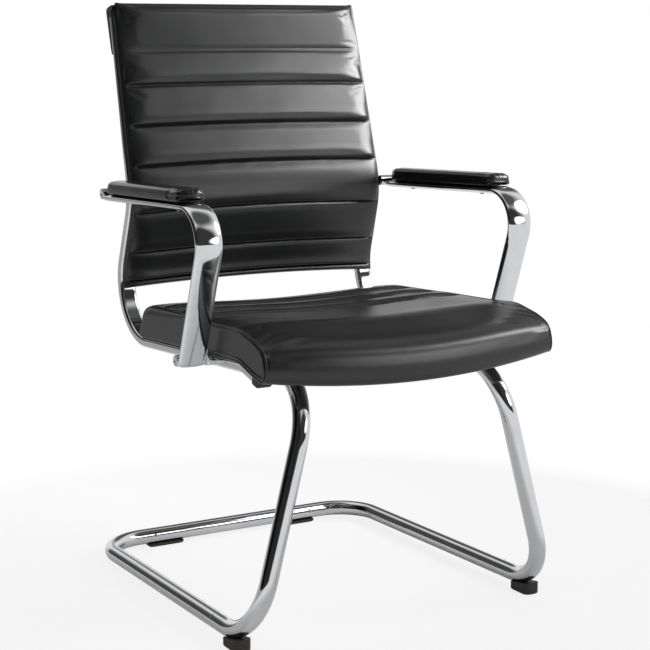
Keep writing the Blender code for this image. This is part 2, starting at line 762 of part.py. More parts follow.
def base_path():
    """Points of the base tube's centre line, from the left top run's end round to the right one's."""
    drop = base_top_drop() / math.cos(math.radians(SEAT_SLOPE))
    half = [
        Vector((LEG_TOP_X, TOP_RUN_END_Y, seat_line_z(TOP_RUN_END_Y) - drop)),
        Vector((LEG_TOP_X, LEG_TOP_Y, seat_line_z(LEG_TOP_Y) - drop)),
        Vector((BASE_FRONT_X, BASE_FRONT_Y, GLIDE_H + TUBE_R)),
        Vector((BASE_REAR_X, BASE_REAR_Y, REAR_PAD_H + TUBE_R)),
    ]
    other = [Vector((-corner.x, corner.y, corner.z)) for corner in half]
    radii = [TOP_BEND_R, FLOOR_BEND_R, CORNER_R]
    return fillet_path(other + list(reversed(half)), radii + list(reversed(radii)))


def floor_run(y):
    """Centre of the right floor run of the base tube at a distance y."""
    share = (y - BASE_FRONT_Y) / (BASE_REAR_Y - BASE_FRONT_Y)
    x = BASE_FRONT_X + (BASE_REAR_X - BASE_FRONT_X) * share
    z = GLIDE_H + (REAR_PAD_H - GLIDE_H) * share + TUBE_R
    return Vector((x, y, z))


def swept_rings(points, outline):
    """An outline carried along a path in space, kept upright, as rings."""
    rings = []
    up = Vector((0.0, 0.0, 1.0))
    for k, point in enumerate(points):
        before = points[max(0, k - 1)]
        after = points[min(len(points) - 1, k + 1)]
        way = (after - before).normalized()
        up = (up - way * up.dot(way)).normalized()
        across = up.cross(way)
        rings.append([point + across * a + up * b for a, b in outline])
    return rings


def build_base():
    """The bent base tube and the plugs in its top ends."""
    points = base_path()
    outer = swept_rings(points, circle(TUBE_R))
    inner = swept_rings(points, circle(TUBE_R - TUBE_WALL))
    tube = keep("base_tube", hollow_loft(outer, inner), "chrome")
    middle = -base_top_drop()
    drill(tube, bolt_rods(BASE_BOLT_R + BOLT_HOLE_CLEAR, middle - 2 * TUBE_R, middle + 2 * TUBE_R))
    across = Vector((1.0, 0.0, 0.0))
    stem_r = TUBE_R - TUBE_WALL - GAP
    levels = ((-END_PLUG_DEPTH, stem_r), (GAP, stem_r), (GAP, TUBE_R), (END_PLUG_HEAD, TUBE_R))
    for word, end, before in (("left", points[0], points[1]), ("right", points[-1], points[-2])):
        out = (end - before).normalized()
        matrix = frame_matrix(end, across, out.cross(across), out)
        keep("base_end_plug_" + word, moved(disc_stack(levels), matrix), "black_plastic")


def rounded_plan(width, length, corner, steps):
    """Plan outline of a block with round corners, centred on the origin."""
    outline = []
    for quarter, (sx, sy) in enumerate(((1, 1), (-1, 1), (-1, -1), (1, -1))):
        for k in range(steps + 1):
            angle = math.radians(90.0 * (quarter + k / steps))
            x = sx * (width / 2 - corner) + corner * math.cos(angle)
            y = sy * (length / 2 - corner) + corner * math.sin(angle)
            outline.append((x, y))
    return outline


def build_feet():
    """Front glides and rear pads, each hollowed to the tube that stands in it, and their rivets."""
    saddle = keep("foot_saddle_cutter", loft(swept_rings(base_path(), circle(TUBE_R + GAP))), "steel")
    saddle.hide_render = True
    saddle.display_type = "WIRE"
    glide_plan = rounded_plan(GLIDE_W, GLIDE_L, GLIDE_CORNER, 3)
    pad_plan = rounded_plan(REAR_PAD_L, REAR_PAD_W, REAR_PAD_CORNER, 1)
    climb = (GLIDE_FRONT_UP - GLIDE_REAR_UP) / GLIDE_L
    feet = []
    for word, side in SIDES:
        x = side * floor_run(GLIDE_Y).x
        low = [Vector((x + a, GLIDE_Y + b, 0.0)) for a, b in glide_plan]
        heights = [GLIDE_REAR_UP + climb * (GLIDE_L / 2 - b) for _, b in glide_plan]
        high = [Vector((point.x, point.y, z)) for point, z in zip(low, heights)]
        feet.append(keep("front_glide_" + word, loft([low, high]), "foot_rubber"))
        levels = (0.0, REAR_PAD_H + REAR_PAD_SADDLE)
        rings = [[Vector((side * REAR_PAD_X + a, BASE_REAR_Y + b, z)) for a, b in pad_plan] for z in levels]
        feet.append(keep("rear_pad_" + word, loft(rings), "foot_rubber"))
    for foot in feet:
        cut = foot.modifiers.new("Saddle", "BOOLEAN")
        cut.operation = "DIFFERENCE"
        cut.solver = "EXACT"
        cut.object = saddle
    facet = math.pi / ROUND_SIDES
    reach = TUBE_R * math.cos(facet) + GAP
    for word, side in SIDES:
        glide_out = Vector((side * math.cos(3 * facet), 0.0, math.sin(3 * facet)))
        glide_spot = floor_run(GLIDE_RIVET_Y)
        glide_spot.x *= side
        pad_out = Vector((0.0, -math.cos(facet), math.sin(facet)))
        pad_spot = Vector((side * REAR_RIVET_X, BASE_REAR_Y, REAR_PAD_H + TUBE_R))
        for foot_word, spot, out, along in (
            ("front_glide", glide_spot, glide_out, Vector((0.0, 1.0, 0.0))),
            ("rear_pad", pad_spot, pad_out, Vector((1.0, 0.0, 0.0))),
        ):
            matrix = frame_matrix(spot + out * reach, along, out.cross(along), out)
            keep(foot_word + "_rivet_" + word, moved(dome_head(RIVET_R, RIVET_H), matrix), "steel")


def arm_corners():
    """Corners of an arm's line in the plane x = 0: rear end, front corner and foot."""
    front_z = ARM_REAR_Z + (ARM_REAR_Y - ARM_FRONT_Y) * tan_deg(ARM_RISE)
    foot_y = ARM_FRONT_Y + (front_z - ARM_FOOT_Z) * tan_deg(ARM_LEG_LEAN)
    return [
        Vector((0.0, ARM_REAR_Y, ARM_REAR_Z)),
        Vector((0.0, ARM_FRONT_Y, front_z)),
        Vector((0.0, foot_y, ARM_FOOT_Z)),
    ]


def arm_middle_x(s):
    """Distance of an arm's line from the middle: it closes in towards the rear, up to the front bend."""
    straight = (ARM_REAR_Y - PAD_FRONT_Y) / math.cos(math.radians(ARM_RISE))
    return ARM_X - max(0.0, straight - s) * tan_deg(ARM_TOE_IN)


def arm_ring(arm, shape, s, side):
    """An arm section's points at distance s along its line, at one side."""
    points = []
    for a, b in shape:
        point = arm.place(s, b)
        point.x = side * (arm_middle_x(s) - a)
        points.append(point)
    return points


def build_arms():
    """Each arm's tube with its end plugs, what fixes it to the rail, and its pad."""
    corners = arm_corners()
    arm = Carrier(fillet_path(corners, [ARM_BEND_R]))
    top_line = Carrier(corners[:2])
    outline = oval(ARM_W, ARM_T)
    bore = oval(ARM_W - 2 * ARM_WALL, ARM_T - 2 * ARM_WALL)
    plug = oval(ARM_W - 2 * (ARM_WALL + GAP), ARM_T - 2 * (ARM_WALL + GAP))
    end = arm.length
    for word, side in SIDES:
        outer = [arm_ring(arm, outline, s, side) for s in arm.marks]
        inner = [arm_ring(arm, bore, s, side) for s in arm.marks]
        keep("arm_tube_" + word, hollow_loft(outer, inner), "chrome")
        for place_word, mouth, out in (("rear", 0.0, -1.0), ("foot", end, 1.0)):
            levels = (
                (plug, mouth - out * END_PLUG_DEPTH),
                (plug, mouth + out * GAP),
                (outline, mouth + out * GAP),
                (outline, mouth + out * ARM_PLUG_T),
            )
            rings = [arm_ring(arm, shape, s, side) for shape, s in levels]
            keep("arm_" + place_word + "_plug_" + word, loft(rings), "chrome")
        build_arm_fixings(arm, word, side)
        build_arm_pad(top_line, word, side)


def lateral_rod(side, y, z, levels):
    """A turned rod along X on one side, from (x, radius) levels."""
    return loft([[Vector((side * x, y + a, z + b)) for a, b in circle(radius)] for x, radius in levels])


def stub_levels(end):
    """The (x, radius) levels of a stub's grooved disc, whose face is at the given distance."""
    groove_end = end - STUB_CAP_T
    return [
        (groove_end - STUB_GROOVE, STUB_R),
        (groove_end - STUB_GROOVE, STUB_R - STUB_GROOVE),
        (groove_end, STUB_R - STUB_GROOVE),
        (groove_end, STUB_R),
        (end - STUB_CAP_ROUND, STUB_R),
        (end, STUB_R - STUB_CAP_ROUND),
    ]


def build_arm_fixings(arm, word, side):
    """The stubs that hold the arm's foot and rear end to the rail, and the gusset at its foot."""
    foot_y = arm.points[-1].y
    stub_z = seat_line_z(foot_y) + STUB_RISE
    away = (ARM_T / 2 + GAP + STUB_R) / math.cos(math.radians(ARM_LEG_LEAN))
    stub_y = arm.place(arm.at_height(stub_z)).y + away
    rail_side = rail_out_x(stub_z) + GAP
    cushion_side = RAIL_OUT_X + SEAT_OVERHANG + GAP
    neck = [(rail_side, STUB_NECK_R), (cushion_side, STUB_NECK_R), (cushion_side, STUB_R)]
    levels = neck + stub_levels(ARM_X + ARM_W / 2 - STUB_RECESS)
    keep("arm_foot_stub_" + word, lateral_rod(side, stub_y, stub_z, levels), "chrome")
    levels = [(rail_out_x(REAR_STUB_Z - STUB_R) + GAP, STUB_R)]
    levels += stub_levels(arm_middle_x(0.0) + ARM_W / 2 - STUB_RECESS)
    keep("arm_rear_stub_" + word, lateral_rod(side, REAR_STUB_Y, REAR_STUB_Z, levels), "chrome")
    near = ARM_T / 2 + GAP
    far = near + FOOT_GUSSET_T
    arm_side = ARM_X - ARM_W / 2 + FOOT_GUSSET_LAP
    foot_s = arm.length
    stations = ((rail_side, FOOT_GUSSET_LOW), (cushion_side, FOOT_GUSSET_LOW), (arm_side, FOOT_GUSSET_H))
    rings = []
    for x, height in stations:
        high_s = foot_s - height
        section = ((foot_s, near), (foot_s, far), (high_s, (near + far) / 2), (high_s, near))
        ring = [arm.place(s, n) for s, n in section]
        for point in ring:
            point.x = side * x
        rings.append(ring)
    keep("arm_foot_gusset_" + word, loft(rings), "chrome")


def pad_stations(start, end):
    """Stations of a pad as (s, share of the half width, share of the height), rounded at both ends."""
    rear = [(start + PAD_REAR_ROUND * on, wide, high) for on, wide, high in PAD_END_SHAPE]
    middle = [(start + (end - start) * share, 1.0, 1.0) for share in (1 / 3, 2 / 3)]
    front = []
    for on, wide, high in reversed(PAD_END_SHAPE):
        front.append((end - PAD_FRONT_ROUND * on, (1.0 + wide) / 2, high))
    return rear + middle + front


def build_arm_pad(line, word, side):
    """The pad's plate, its padded top and the two screws that hold it from below the tube."""
    slant = math.cos(math.radians(ARM_RISE))
    start = (ARM_REAR_Y - PAD_REAR_Y) / slant
    end = (ARM_REAR_Y - PAD_FRONT_Y) / slant
    plate_low = ARM_T / 2 + GAP
    plate_high = plate_low + PAD_PLATE_T
    pad_low = plate_high + GAP
    plate = []
    pad = []
    for s, wide, high in pad_stations(start, end):
        half = PAD_W / 2 * wide
        thin = half - PAD_PLATE_INSET
        middle = side * arm_middle_x(s)
        flat = [(-thin, plate_low), (thin, plate_low), (thin, plate_high), (-thin, plate_high)]
        plate.append([line.place(s, n) + Vector((middle - a, 0.0, 0.0)) for a, n in flat])
        full = [(a * half, pad_low + n * PAD_H * high) for a, n in PAD_SECTION]
        pad.append([line.place(s, n) + Vector((middle - a, 0.0, 0.0)) for a, n in full])
    keep("arm_pad_plate_" + word, loft(plate[1:-1]), "black_plastic")
    keep("arm_pad_" + word, loft(pad), "leather")
    across = Vector((1.0, 0.0, 0.0))
    for place_word, s in (("rear", start + PAD_SCREW_INSET), ("front", end - PAD_SCREW_INSET)):
        spot = line.place(s, -ARM_T / 2 - GAP)
        spot.x = side * arm_middle_x(s)
        down = -line.normal(s)
        matrix = frame_matrix(spot, across, down.cross(across), down)
        shape = moved(dome_head(PAD_SCREW_R, PAD_SCREW_H), matrix)
        keep("arm_pad_screw_" + word + "_" + place_word, shape, "steel")


def main():
    """Builds the whole chair."""
    for old in list(bpy.data.objects):
        bpy.data.objects.remove(old, do_unlink=True)
    carrier = Carrier(fillet_path(rail_corners(), [LUMBAR_R, HEEL_R, KNEE_R]))
    build_rails(carrier)
    build_boards(carrier)
    build_pocket(carrier)
    build_cross_members()
    build_back_bars(carrier)
    build_seat_cushion(carrier)
    build_back_cushion(carrier)
    build_board_screws(carrier)
    build_base()
    build_feet()
    build_arms()


main()
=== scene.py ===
"""Guest chair: chromed tube, channelled leather seat and back, and padded arms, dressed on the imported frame.

The chair faces -Y and stands on z = 0. Lengths are in metres and angles in degrees.
The side line runs from the top of the back down and forward under the seat: a place on it is the distance s
along it and the height n off it, towards the sitter.
Surfaces are grids of points, worked out as whole arrays.
"""
import json
import math

import bmesh
import bpy
import numpy as np
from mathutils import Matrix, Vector

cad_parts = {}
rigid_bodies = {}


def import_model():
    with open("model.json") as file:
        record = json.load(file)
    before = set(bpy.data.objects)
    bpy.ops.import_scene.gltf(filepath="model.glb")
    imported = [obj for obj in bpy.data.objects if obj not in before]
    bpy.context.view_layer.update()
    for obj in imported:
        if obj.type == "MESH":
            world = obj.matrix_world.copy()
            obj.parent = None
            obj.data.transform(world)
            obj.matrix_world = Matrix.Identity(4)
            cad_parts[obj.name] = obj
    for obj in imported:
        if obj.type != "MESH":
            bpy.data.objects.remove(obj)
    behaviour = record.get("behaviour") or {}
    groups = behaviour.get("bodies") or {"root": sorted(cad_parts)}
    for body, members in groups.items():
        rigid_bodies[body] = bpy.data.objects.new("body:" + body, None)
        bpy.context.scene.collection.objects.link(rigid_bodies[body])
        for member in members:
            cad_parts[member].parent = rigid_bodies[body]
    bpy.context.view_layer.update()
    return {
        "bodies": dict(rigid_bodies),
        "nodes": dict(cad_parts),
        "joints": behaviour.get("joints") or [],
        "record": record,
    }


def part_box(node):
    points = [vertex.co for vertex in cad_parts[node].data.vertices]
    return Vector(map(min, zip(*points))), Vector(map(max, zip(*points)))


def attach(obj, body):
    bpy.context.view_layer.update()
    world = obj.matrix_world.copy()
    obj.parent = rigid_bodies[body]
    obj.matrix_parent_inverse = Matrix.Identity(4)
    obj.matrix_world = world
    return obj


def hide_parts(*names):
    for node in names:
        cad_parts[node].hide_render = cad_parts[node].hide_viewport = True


SIDES = (("left", -1.0), ("right", 1.0))
GAP = 0.0003
MERGE = 1e-6

# The photograph's camera: where it stands, what it looks at and its lens on a 36 mm sensor
CAMERA_PLACE = (-1.3946, -2.4348, 0.9147)
CAMERA_TARGET = (0.0171, -0.003, 0.4383)
CAMERA_LENS = 94.55
SENSOR = 36.0

# Side line of rail, seat and back
RAIL_W = 0.0285
RAIL_T = 0.016
RAIL_CORNER = 0.005
RAIL_OUT_X = 0.250
RAIL_LEAN = 1.67
RAIL_LEAN_Z = 0.520
RAIL_TOP_Z = 0.946
LUMBAR_Z = 0.6453
UPPER_LEAN = 15.1
LOWER_LEAN = 17.9
HEEL_Y = 0.2771
KNEE_Y = -0.213
KNEE_Z = 0.427
SEAT_SLOPE = 2.77
RAIL_TIP_Y = -0.2495
FRONT_DROP = 15.2
RAIL_RADII = (0.115, 0.0975, 0.060)
RAIL_CAP_L = 0.0135
RAIL_CAP_DROP = 0.003
RAIL_PLUG_L = 0.0095

# Base tube
TUBE_R = 0.0137
BASE_DROP = 0.0183
BASE_FRONT_X = 0.2705
BASE_FRONT_Y = -0.292
BASE_REAR_X = 0.2645
BASE_REAR_Y = 0.3143
LEG_TOP_X = 0.1668
LEG_TOP_Y = -0.284
TOP_RUN_END_Y = 0.125
GLIDE_H = 0.0098
GLIDE_CORNER = 0.010
GLIDE_WALL_FRONT = 0.020
GLIDE_WALL_REAR = 0.012
REAR_PAD_H = 0.0055
BASE_RADII = (0.098, 0.094, 0.078)

# Seat cushion, heights above the rail's upper face and lengths past the rail's tip
SEAT_W = (0.001, 0.0075)
SEAT_DRAW_IN = 0.003
SEAT_SEAM_H = 0.0515
SEAT_FRONT_RISE = 0.003
SEAT_CROWN = 0.004
SEAT_DISH = 0.0065
SEAT_REAR_Y = 0.163
SEAT_REAR_CORNER = 0.006
SEAT_REAR_ROUND = 0.030
SEAT_REAR_LIFT = 0.004
SEAT_FLAP_T = 0.0042
SEAT_FLAP_LOW = -0.001
SEAT_FLAP_U = 0.889
SEAT_NOSE_SIDE = 0.053
SEAT_NOSE_BOW = 0.0229
SEAT_NOSE_ROUND = 0.048
SEAT_LIP_SIDE = 0.004
SEAT_LIP_DROOP = 0.0125
SEAT_SEAMS_Y = (0.075, 0.005, -0.065)
SEAT_SPINE_INSET = 0.030
WELT_R = 0.0016
WELTS = (("outer", 0.0014, -0.0002), ("inner", 0.0064, -0.0006))
NOSE_SHAPE = ((0.146, 0.0), (0.02, 0.12), (0.0, 0.34), (0.10, 0.60), (0.38, 0.90), (1.0, 1.0))
REAR_SHAPE = ((2.2, 1.0), (1.0, 0.99), (0.45, 0.91), (0.12, 0.72), (0.0, 0.40), (0.0, 0.10))

# Back cushion: thicknesses in front of the rail, and its seams as shares of its length from the top
BACK_TOP_Z = 0.964
BACK_BOTTOM_Z = 0.488
BACK_SEAM_T = 0.0085
BACK_PUFF = 0.0072
BACK_ARCH = 0.008
BACK_MARGIN = 0.0045
BACK_SEAMS = (0.0, 0.166, 0.288, 0.430, 0.571, 0.714, 0.857, 1.0)
BACK_HEM_UP = 0.013
BACK_SPINE_INSET = 0.006

# Pocket and panel behind the back
POCKET_DROP = 0.063
POCKET_T = 0.0085
POCKET_LOW_T = 0.004
PANEL_LOW = -0.0096
PANEL_HIGH = -0.0061
PANEL_BOTTOM_Z = 0.500

# Arms
ARM_X = 0.284
ARM_W = 0.045
ARM_T = 0.0135
ARM_TOE_IN = 1.5
ARM_REAR_Y = 0.1817
ARM_REAR_Z = 0.6512
ARM_RISE = 1.95
ARM_FRONT_Y = -0.2028
ARM_LEG_LEAN = 19.8
ARM_FOOT_Z = 0.4215
ARM_BEND_R = 0.054
ARM_PLUG_T = 0.004
STUB_R = 0.009
STUB_NECK_R = 0.0055
STUB_NECK_X = 0.2578
STUB_RIM = 0.0012
WEB_LOW = 0.008
WEB_HIGH = 0.027
WEB_T = 0.006
PAD_W = 0.048
PAD_H = 0.0188
PAD_REAR_Y = 0.180
PAD_FRONT_Y = -0.125
PAD_LOW = 0.0096

# Screw and rivet heads: node, radius, height and the way each faces on the right side. DOME is their profile.
HEADS = (
    ("seat_screw_%s_front", 0.004, 0.0022, (0.0, 0.0, -1.0)),
    ("seat_screw_%s_rear", 0.004, 0.0022, (0.0, 0.0, -1.0)),
    ("arm_pad_screw_%s_front", 0.0042, 0.002, (0.0, 0.034, -1.0)),
    ("arm_pad_screw_%s_rear", 0.0042, 0.002, (0.0, 0.034, -1.0)),
    ("front_glide_rivet_%s", 0.0032, 0.0018, (1.0, 0.0, 1.0)),
    ("rear_pad_rivet_%s", 0.0032, 0.0018, (0.0, -0.966, 0.259)),
)
DOME = ((0.0, 1.0), (0.15, 1.0), (0.45, 0.92), (0.75, 0.70), (0.93, 0.42), (1.0, 0.15))

LINE_STEP = 0.001

# Soft bodies: how far each row of a side panel closes in, and the simulation of the filling
PANEL_SHARES = np.array((0.03, 0.075, 0.13, 0.20, 0.28, 0.38, 0.50, 0.64, 0.78, 0.90))
CLOTH_FRAMES = 20
CLOTH_PRESSURE = 4.0
TWIN_ROWS = 40
SEAT_SWELL = 0.0012
BACK_SWELL = 0.0012

# Studio: the floor's half width, the world's fill, and dark screens as
# (direction, full inside, none outside, level)
FLOOR_HALF = 14.0
FILL = 0.65
SCREENS = (
    ((-0.93, -0.10, 0.34), 34.0, 58.0, 0.03),
    ((-0.74, 0.62, 0.26), 26.0, 46.0, 0.08),
    ((-0.05, -0.99, 0.10), 38.0, 53.0, 0.05),
    ((0.20, -0.20, 0.96), 16.0, 34.0, 0.12),
    ((0.44, 0.68, 0.59), 14.0, 28.0, 0.12),
)


def tan_deg(angle):
    """Tangent of an angle given in degrees."""
    return math.tan(math.radians(angle))


def smooth_step(x, low, high):
    """0 below low, 1 above high, and 3t^2 - 2t^3 of the share t between them."""
    t = np.clip((x - low) / (high - low), 0.0, 1.0)
    return t * t * (3.0 - 2.0 * t)


def bell(x, width):
    """Bell curve exp(-(x / width)^2)."""
    return np.exp(-(x / width) ** 2)


def fillet(corners, radii, turn_step=2.0):
    """Corners of a path with each inner one rounded by an arc that touches both runs.

    The arc's centre lies on the corner's bisector, radius / sin(half the inside angle) from the corner.
    """
    corners = np.asarray(corners, float)
    runs = [corners[:1]]
    for before, corner, after, radius in zip(corners, corners[1:], corners[2:], radii):
        back = (before - corner) / np.linalg.norm(before - corner)
        on = (after - corner) / np.linalg.norm(after - corner)
        inside = math.acos(float(back @ on))
        bisector = (back + on) / np.linalg.norm(back + on)
        centre = corner + bisector * radius / math.sin(inside / 2)
        start = corner + back * radius / math.tan(inside / 2) - centre
        side = -back * radius
        turn = math.pi - inside
        angle = np.linspace(0.0, turn, max(3, int(math.degrees(turn) / turn_step)))[:, None]
        runs.append(centre + start * np.cos(angle) + side * np.sin(angle))
    runs.append(corners[-1:])
    return np.concatenate(runs)


def path_marks(points):
    """Distance of each point of a path from its first one, along the path."""
    return np.concatenate(([0.0], np.cumsum(np.linalg.norm(np.diff(points, axis=0), axis=1))))


def read_path(points, marks, along):
    """The points of a path at other distances along it."""
    return np.stack([np.interp(along, marks, points[:, k]) for k in range(points.shape[1])], axis=1)


def spaced(points, step):
    """The same path at even steps along its length."""
    marks = path_marks(points)
    count = max(2, int(round(marks[-1] / step)) + 1)
    return read_path(points, marks, np.linspace(0.0, marks[-1], count))


def unit_rows(rows):
    """Each row scaled to the length 1."""
    return rows / np.linalg.norm(rows, axis=1)[:, None]


def bunched(count):
    """Shares from -1 to 1 that lie closer together towards both ends: the sines of even angles."""
    return np.sin(np.linspace(-1.0, 1.0, count) * math.pi / 2)


class SideLine:
    """A bent line in the plane x = 0, run on straight past both ends, read by s and n."""

    def __init__(self, corners, radii, spare=0.15):
        points = fillet(corners, radii)
        first = points[0] - points[1]
        last = points[-1] - points[-2]
        above = points[0] + first / np.linalg.norm(first) * spare
        beyond = points[-1] + last / np.linalg.norm(last) * spare
        path = spaced(np.vstack((above, points, beyond)), LINE_STEP)
        self.s = path_marks(path) - spare
        self.length = self.s[-1] - spare
        self.y, self.z = path.T
        way = unit_rows(np.gradient(path, self.s, axis=0))
        self.ny, self.nz = way[:, 1], -way[:, 0]
        low = self.z < (self.z.min() + self.z.max()) / 2
        rear = self.y > (self.y.min() + self.y.max()) / 2
        self.turn = self.s[low][np.argmax(self.y[low])]
        self.heel = self.s[rear][np.argmin(self.z[rear])]

    def at(self, s, n):
        """The y and z at distance s and height n."""
        y = np.interp(s, self.s, self.y) + n * np.interp(s, self.s, self.ny)
        z = np.interp(s, self.s, self.z) + n * np.interp(s, self.s, self.nz)
        return y, z

    def at_height(self, z):
        """Distance at which the line, on its way down, passes the height z."""
        upper = self.s < self.heel
        return float(np.interp(-z, -self.z[upper], self.s[upper]))

    def at_depth(self, y):
        """Distance at which the line, on its way forward, passes the depth y."""
        lower = self.s > self.turn
        return float(np.interp(-y, -self.y[lower], self.s[lower]))


def seat_line_z(y):
    """Height of the rail's line, run straight on from the seat."""
    return KNEE_Z - (y - KNEE_Y) * tan_deg(SEAT_SLOPE)


def rail_side_line():
    """The rail's line through its five corners."""
    heel_z = seat_line_z(HEEL_Y)
    lumbar_y = HEEL_Y - (LUMBAR_Z - heel_z) * tan_deg(LOWER_LEAN)
    top_y = lumbar_y + (RAIL_TOP_Z - LUMBAR_Z) * tan_deg(UPPER_LEAN)
    tip_z = KNEE_Z - (KNEE_Y - RAIL_TIP_Y) * tan_deg(FRONT_DROP)
    upper = ((top_y, RAIL_TOP_Z), (lumbar_y, LUMBAR_Z), (HEEL_Y, heel_z))
    return SideLine(upper + ((KNEE_Y, KNEE_Z), (RAIL_TIP_Y, tip_z)), RAIL_RADII)


def arm_side_line():
    """The arm's line: rear end, front corner and foot."""
    front_z = ARM_REAR_Z + (ARM_REAR_Y - ARM_FRONT_Y) * tan_deg(ARM_RISE)
    foot_y = ARM_FRONT_Y + (front_z - ARM_FOOT_Z) * tan_deg(ARM_LEG_LEAN)
    return SideLine(((ARM_REAR_Y, ARM_REAR_Z), (ARM_FRONT_Y, front_z), (foot_y, ARM_FOOT_Z)), (ARM_BEND_R,))


def rail_out_x(z):
    """Distance of the rail's outer side from the middle: upright below, leaning in above."""
    over = z - RAIL_LEAN_Z
    return RAIL_OUT_X - 0.5 * (over + np.hypot(over, 0.01)) * tan_deg(RAIL_LEAN)


def rail_middle_x(s, z):
    """Distance of the rail's own middle from the chair's middle."""
    return rail_out_x(z) - RAIL_W / 2


def arm_middle_x(s, z=0.0):
    """Distance of the arm's line from the middle, the same at every height: it closes in towards the rear."""
    straight = (ARM_REAR_Y - PAD_FRONT_Y) / math.cos(math.radians(ARM_RISE))
    over = straight - s
    return ARM_X - 0.5 * (over + np.hypot(over, 0.02)) * tan_deg(ARM_TOE_IN)


RAIL = rail_side_line()
ARM = arm_side_line()
TWIN_SHARES = bunched(TWIN_ROWS)


def linear(code):
    """An sRGB hex colour as linear red, green, blue and alpha."""
    parts = [int(code[k:k + 2], 16) / 255.0 for k in (1, 3, 5)]
    return (*[p / 12.92 if p <= 0.04045 else ((p + 0.055) / 1.055) ** 2.4 for p in parts], 1.0)


def add(tree, kind, values=(), links=(), **settings):
    """Adds a node: its own settings, its inputs' values, and the sockets that feed its inputs."""
    node = tree.nodes.new(kind)
    for key, value in settings.items():
        setattr(node, key, value)
    for key, value in dict(values).items():
        node.inputs[key].default_value = value
    for key, socket in dict(links).items():
        tree.links.new(socket, node.inputs[key])
    return node


def new_material(name, colour, metallic, roughness, **constants):
    """A material with its shader's constants set, and its object coordinates."""
    material = bpy.data.materials.new(name)
    material.use_nodes = True
    tree = material.node_tree
    shader = tree.nodes["Principled BSDF"]
    shader.inputs["Base Color"].default_value = linear(colour)
    shader.inputs["Metallic"].default_value = metallic
    shader.inputs["Roughness"].default_value = roughness
    for key, value in constants.items():
        shader.inputs[key.replace("_", " ")].default_value = value
    coords = add(tree, "ShaderNodeTexCoord").outputs["Object"]
    return material, tree, shader, coords


def vary(tree, shader, fac, dark, light, rough_low, rough_high, depth=0.0, strength=0.0):
    """Colour and roughness that follow one pattern between two ends, and its bump where a depth is given."""
    mix = add(tree, "ShaderNodeMix", {6: linear(dark), 7: linear(light)}, {0: fac}, data_type="RGBA")
    tree.links.new(mix.outputs[2], shader.inputs["Base Color"])
    values = {"To Min": rough_low, "To Max": rough_high}
    span = add(tree, "ShaderNodeMapRange", values, {"Value": fac})
    tree.links.new(span.outputs["Result"], shader.inputs["Roughness"])
    if depth:
        bump = add(tree, "ShaderNodeBump", {"Distance": depth, "Strength": strength}, {"Height": fac})
        tree.links.new(bump.outputs["Normal"], shader.inputs["Normal"])


def polished_chrome():
    """Bright chrome plating on polished steel tube: a clear mirror with a faint haze and slow ripples."""
    material, tree, shader, coords = new_material("polished_chrome_plating", "#cfd0d2", 1.0, 0.045)
    haze = add(tree, "ShaderNodeTexNoise", {"Scale": 38.0, "Detail": 3.0}, {"Vector": coords})
    vary(tree, shader, haze.outputs["Fac"], "#c6c7c9", "#d6d7d9", 0.03, 0.075)
    ripple = add(tree, "ShaderNodeTexNoise", {"Scale": 16.0, "Detail": 1.0}, {"Vector": coords})
    values = {"Distance": 0.0004, "Strength": 0.25}
    wave = add(tree, "ShaderNodeBump", values, {"Height": ripple.outputs["Fac"]})
    tree.links.new(wave.outputs["Normal"], shader.inputs["Normal"])
    return material


def coated_leather(name, dark, light, rough, grain_depth):
    """Black finished cowhide: a low pebble grain of about 1.4 mm under a satin coat, draped in soft waves."""
    material, tree, shader, coords = new_material(name, dark, 0.0, rough, Specular_IOR_Level=0.5)
    values = {"Scale": 22.0, "Detail": 4.0, "Roughness": 0.6}
    cloud = add(tree, "ShaderNodeTexNoise", values, {"Vector": coords})
    vary(tree, shader, cloud.outputs["Fac"], dark, light, rough - 0.05, rough + 0.07)
    values = {"Scale": 1 / 0.0014}
    pebbles = add(tree, "ShaderNodeTexVoronoi", values, {"Vector": coords}, feature="SMOOTH_F1")
    values = {"Distance": 0.00012, "Strength": grain_depth}
    grain = add(tree, "ShaderNodeBump", values, {"Height": pebbles.outputs["Distance"]})
    drape = add(tree, "ShaderNodeTexNoise", {"Scale": 34.0, "Detail": 2.0}, {"Vector": coords})
    links = {"Height": drape.outputs["Fac"], "Normal": grain.outputs["Normal"]}
    waves = add(tree, "ShaderNodeBump", {"Distance": 0.0006, "Strength": 0.22}, links)
    tree.links.new(waves.outputs["Normal"], shader.inputs["Normal"])
    return material


def moulded_plastic():
    """Injection-moulded black polypropylene with a fine spark-eroded texture."""
    material, tree, shader, coords = new_material("moulded_polypropylene", "#18181a", 0.0, 0.45, IOR=1.49)
    spark = add(tree, "ShaderNodeTexNoise", {"Scale": 1400.0, "Detail": 2.0}, {"Vector": coords})
    vary(tree, shader, spark.outputs["Fac"], "#141415", "#1f1f21", 0.40, 0.55, 0.00008, 0.5)
    return material


def zinc_plated_steel():
    """Cold-rolled steel with bright zinc plating: a soft grey with a faint rolling direction along x."""
    material, tree, shader, coords = new_material("zinc_plated_steel", "#9a9b9c", 1.0, 0.35)
    values = {"Scale": (12.0, 420.0, 420.0)}
    drawn = add(tree, "ShaderNodeMapping", values, {"Vector": coords}).outputs["Vector"]
    rolled = add(tree, "ShaderNodeTexNoise", {"Scale": 1.0, "Detail": 3.0}, {"Vector": drawn})
    vary(tree, shader, rolled.outputs["Fac"], "#858688", "#b4b5b6", 0.28, 0.44, 0.00005, 0.4)
    return material


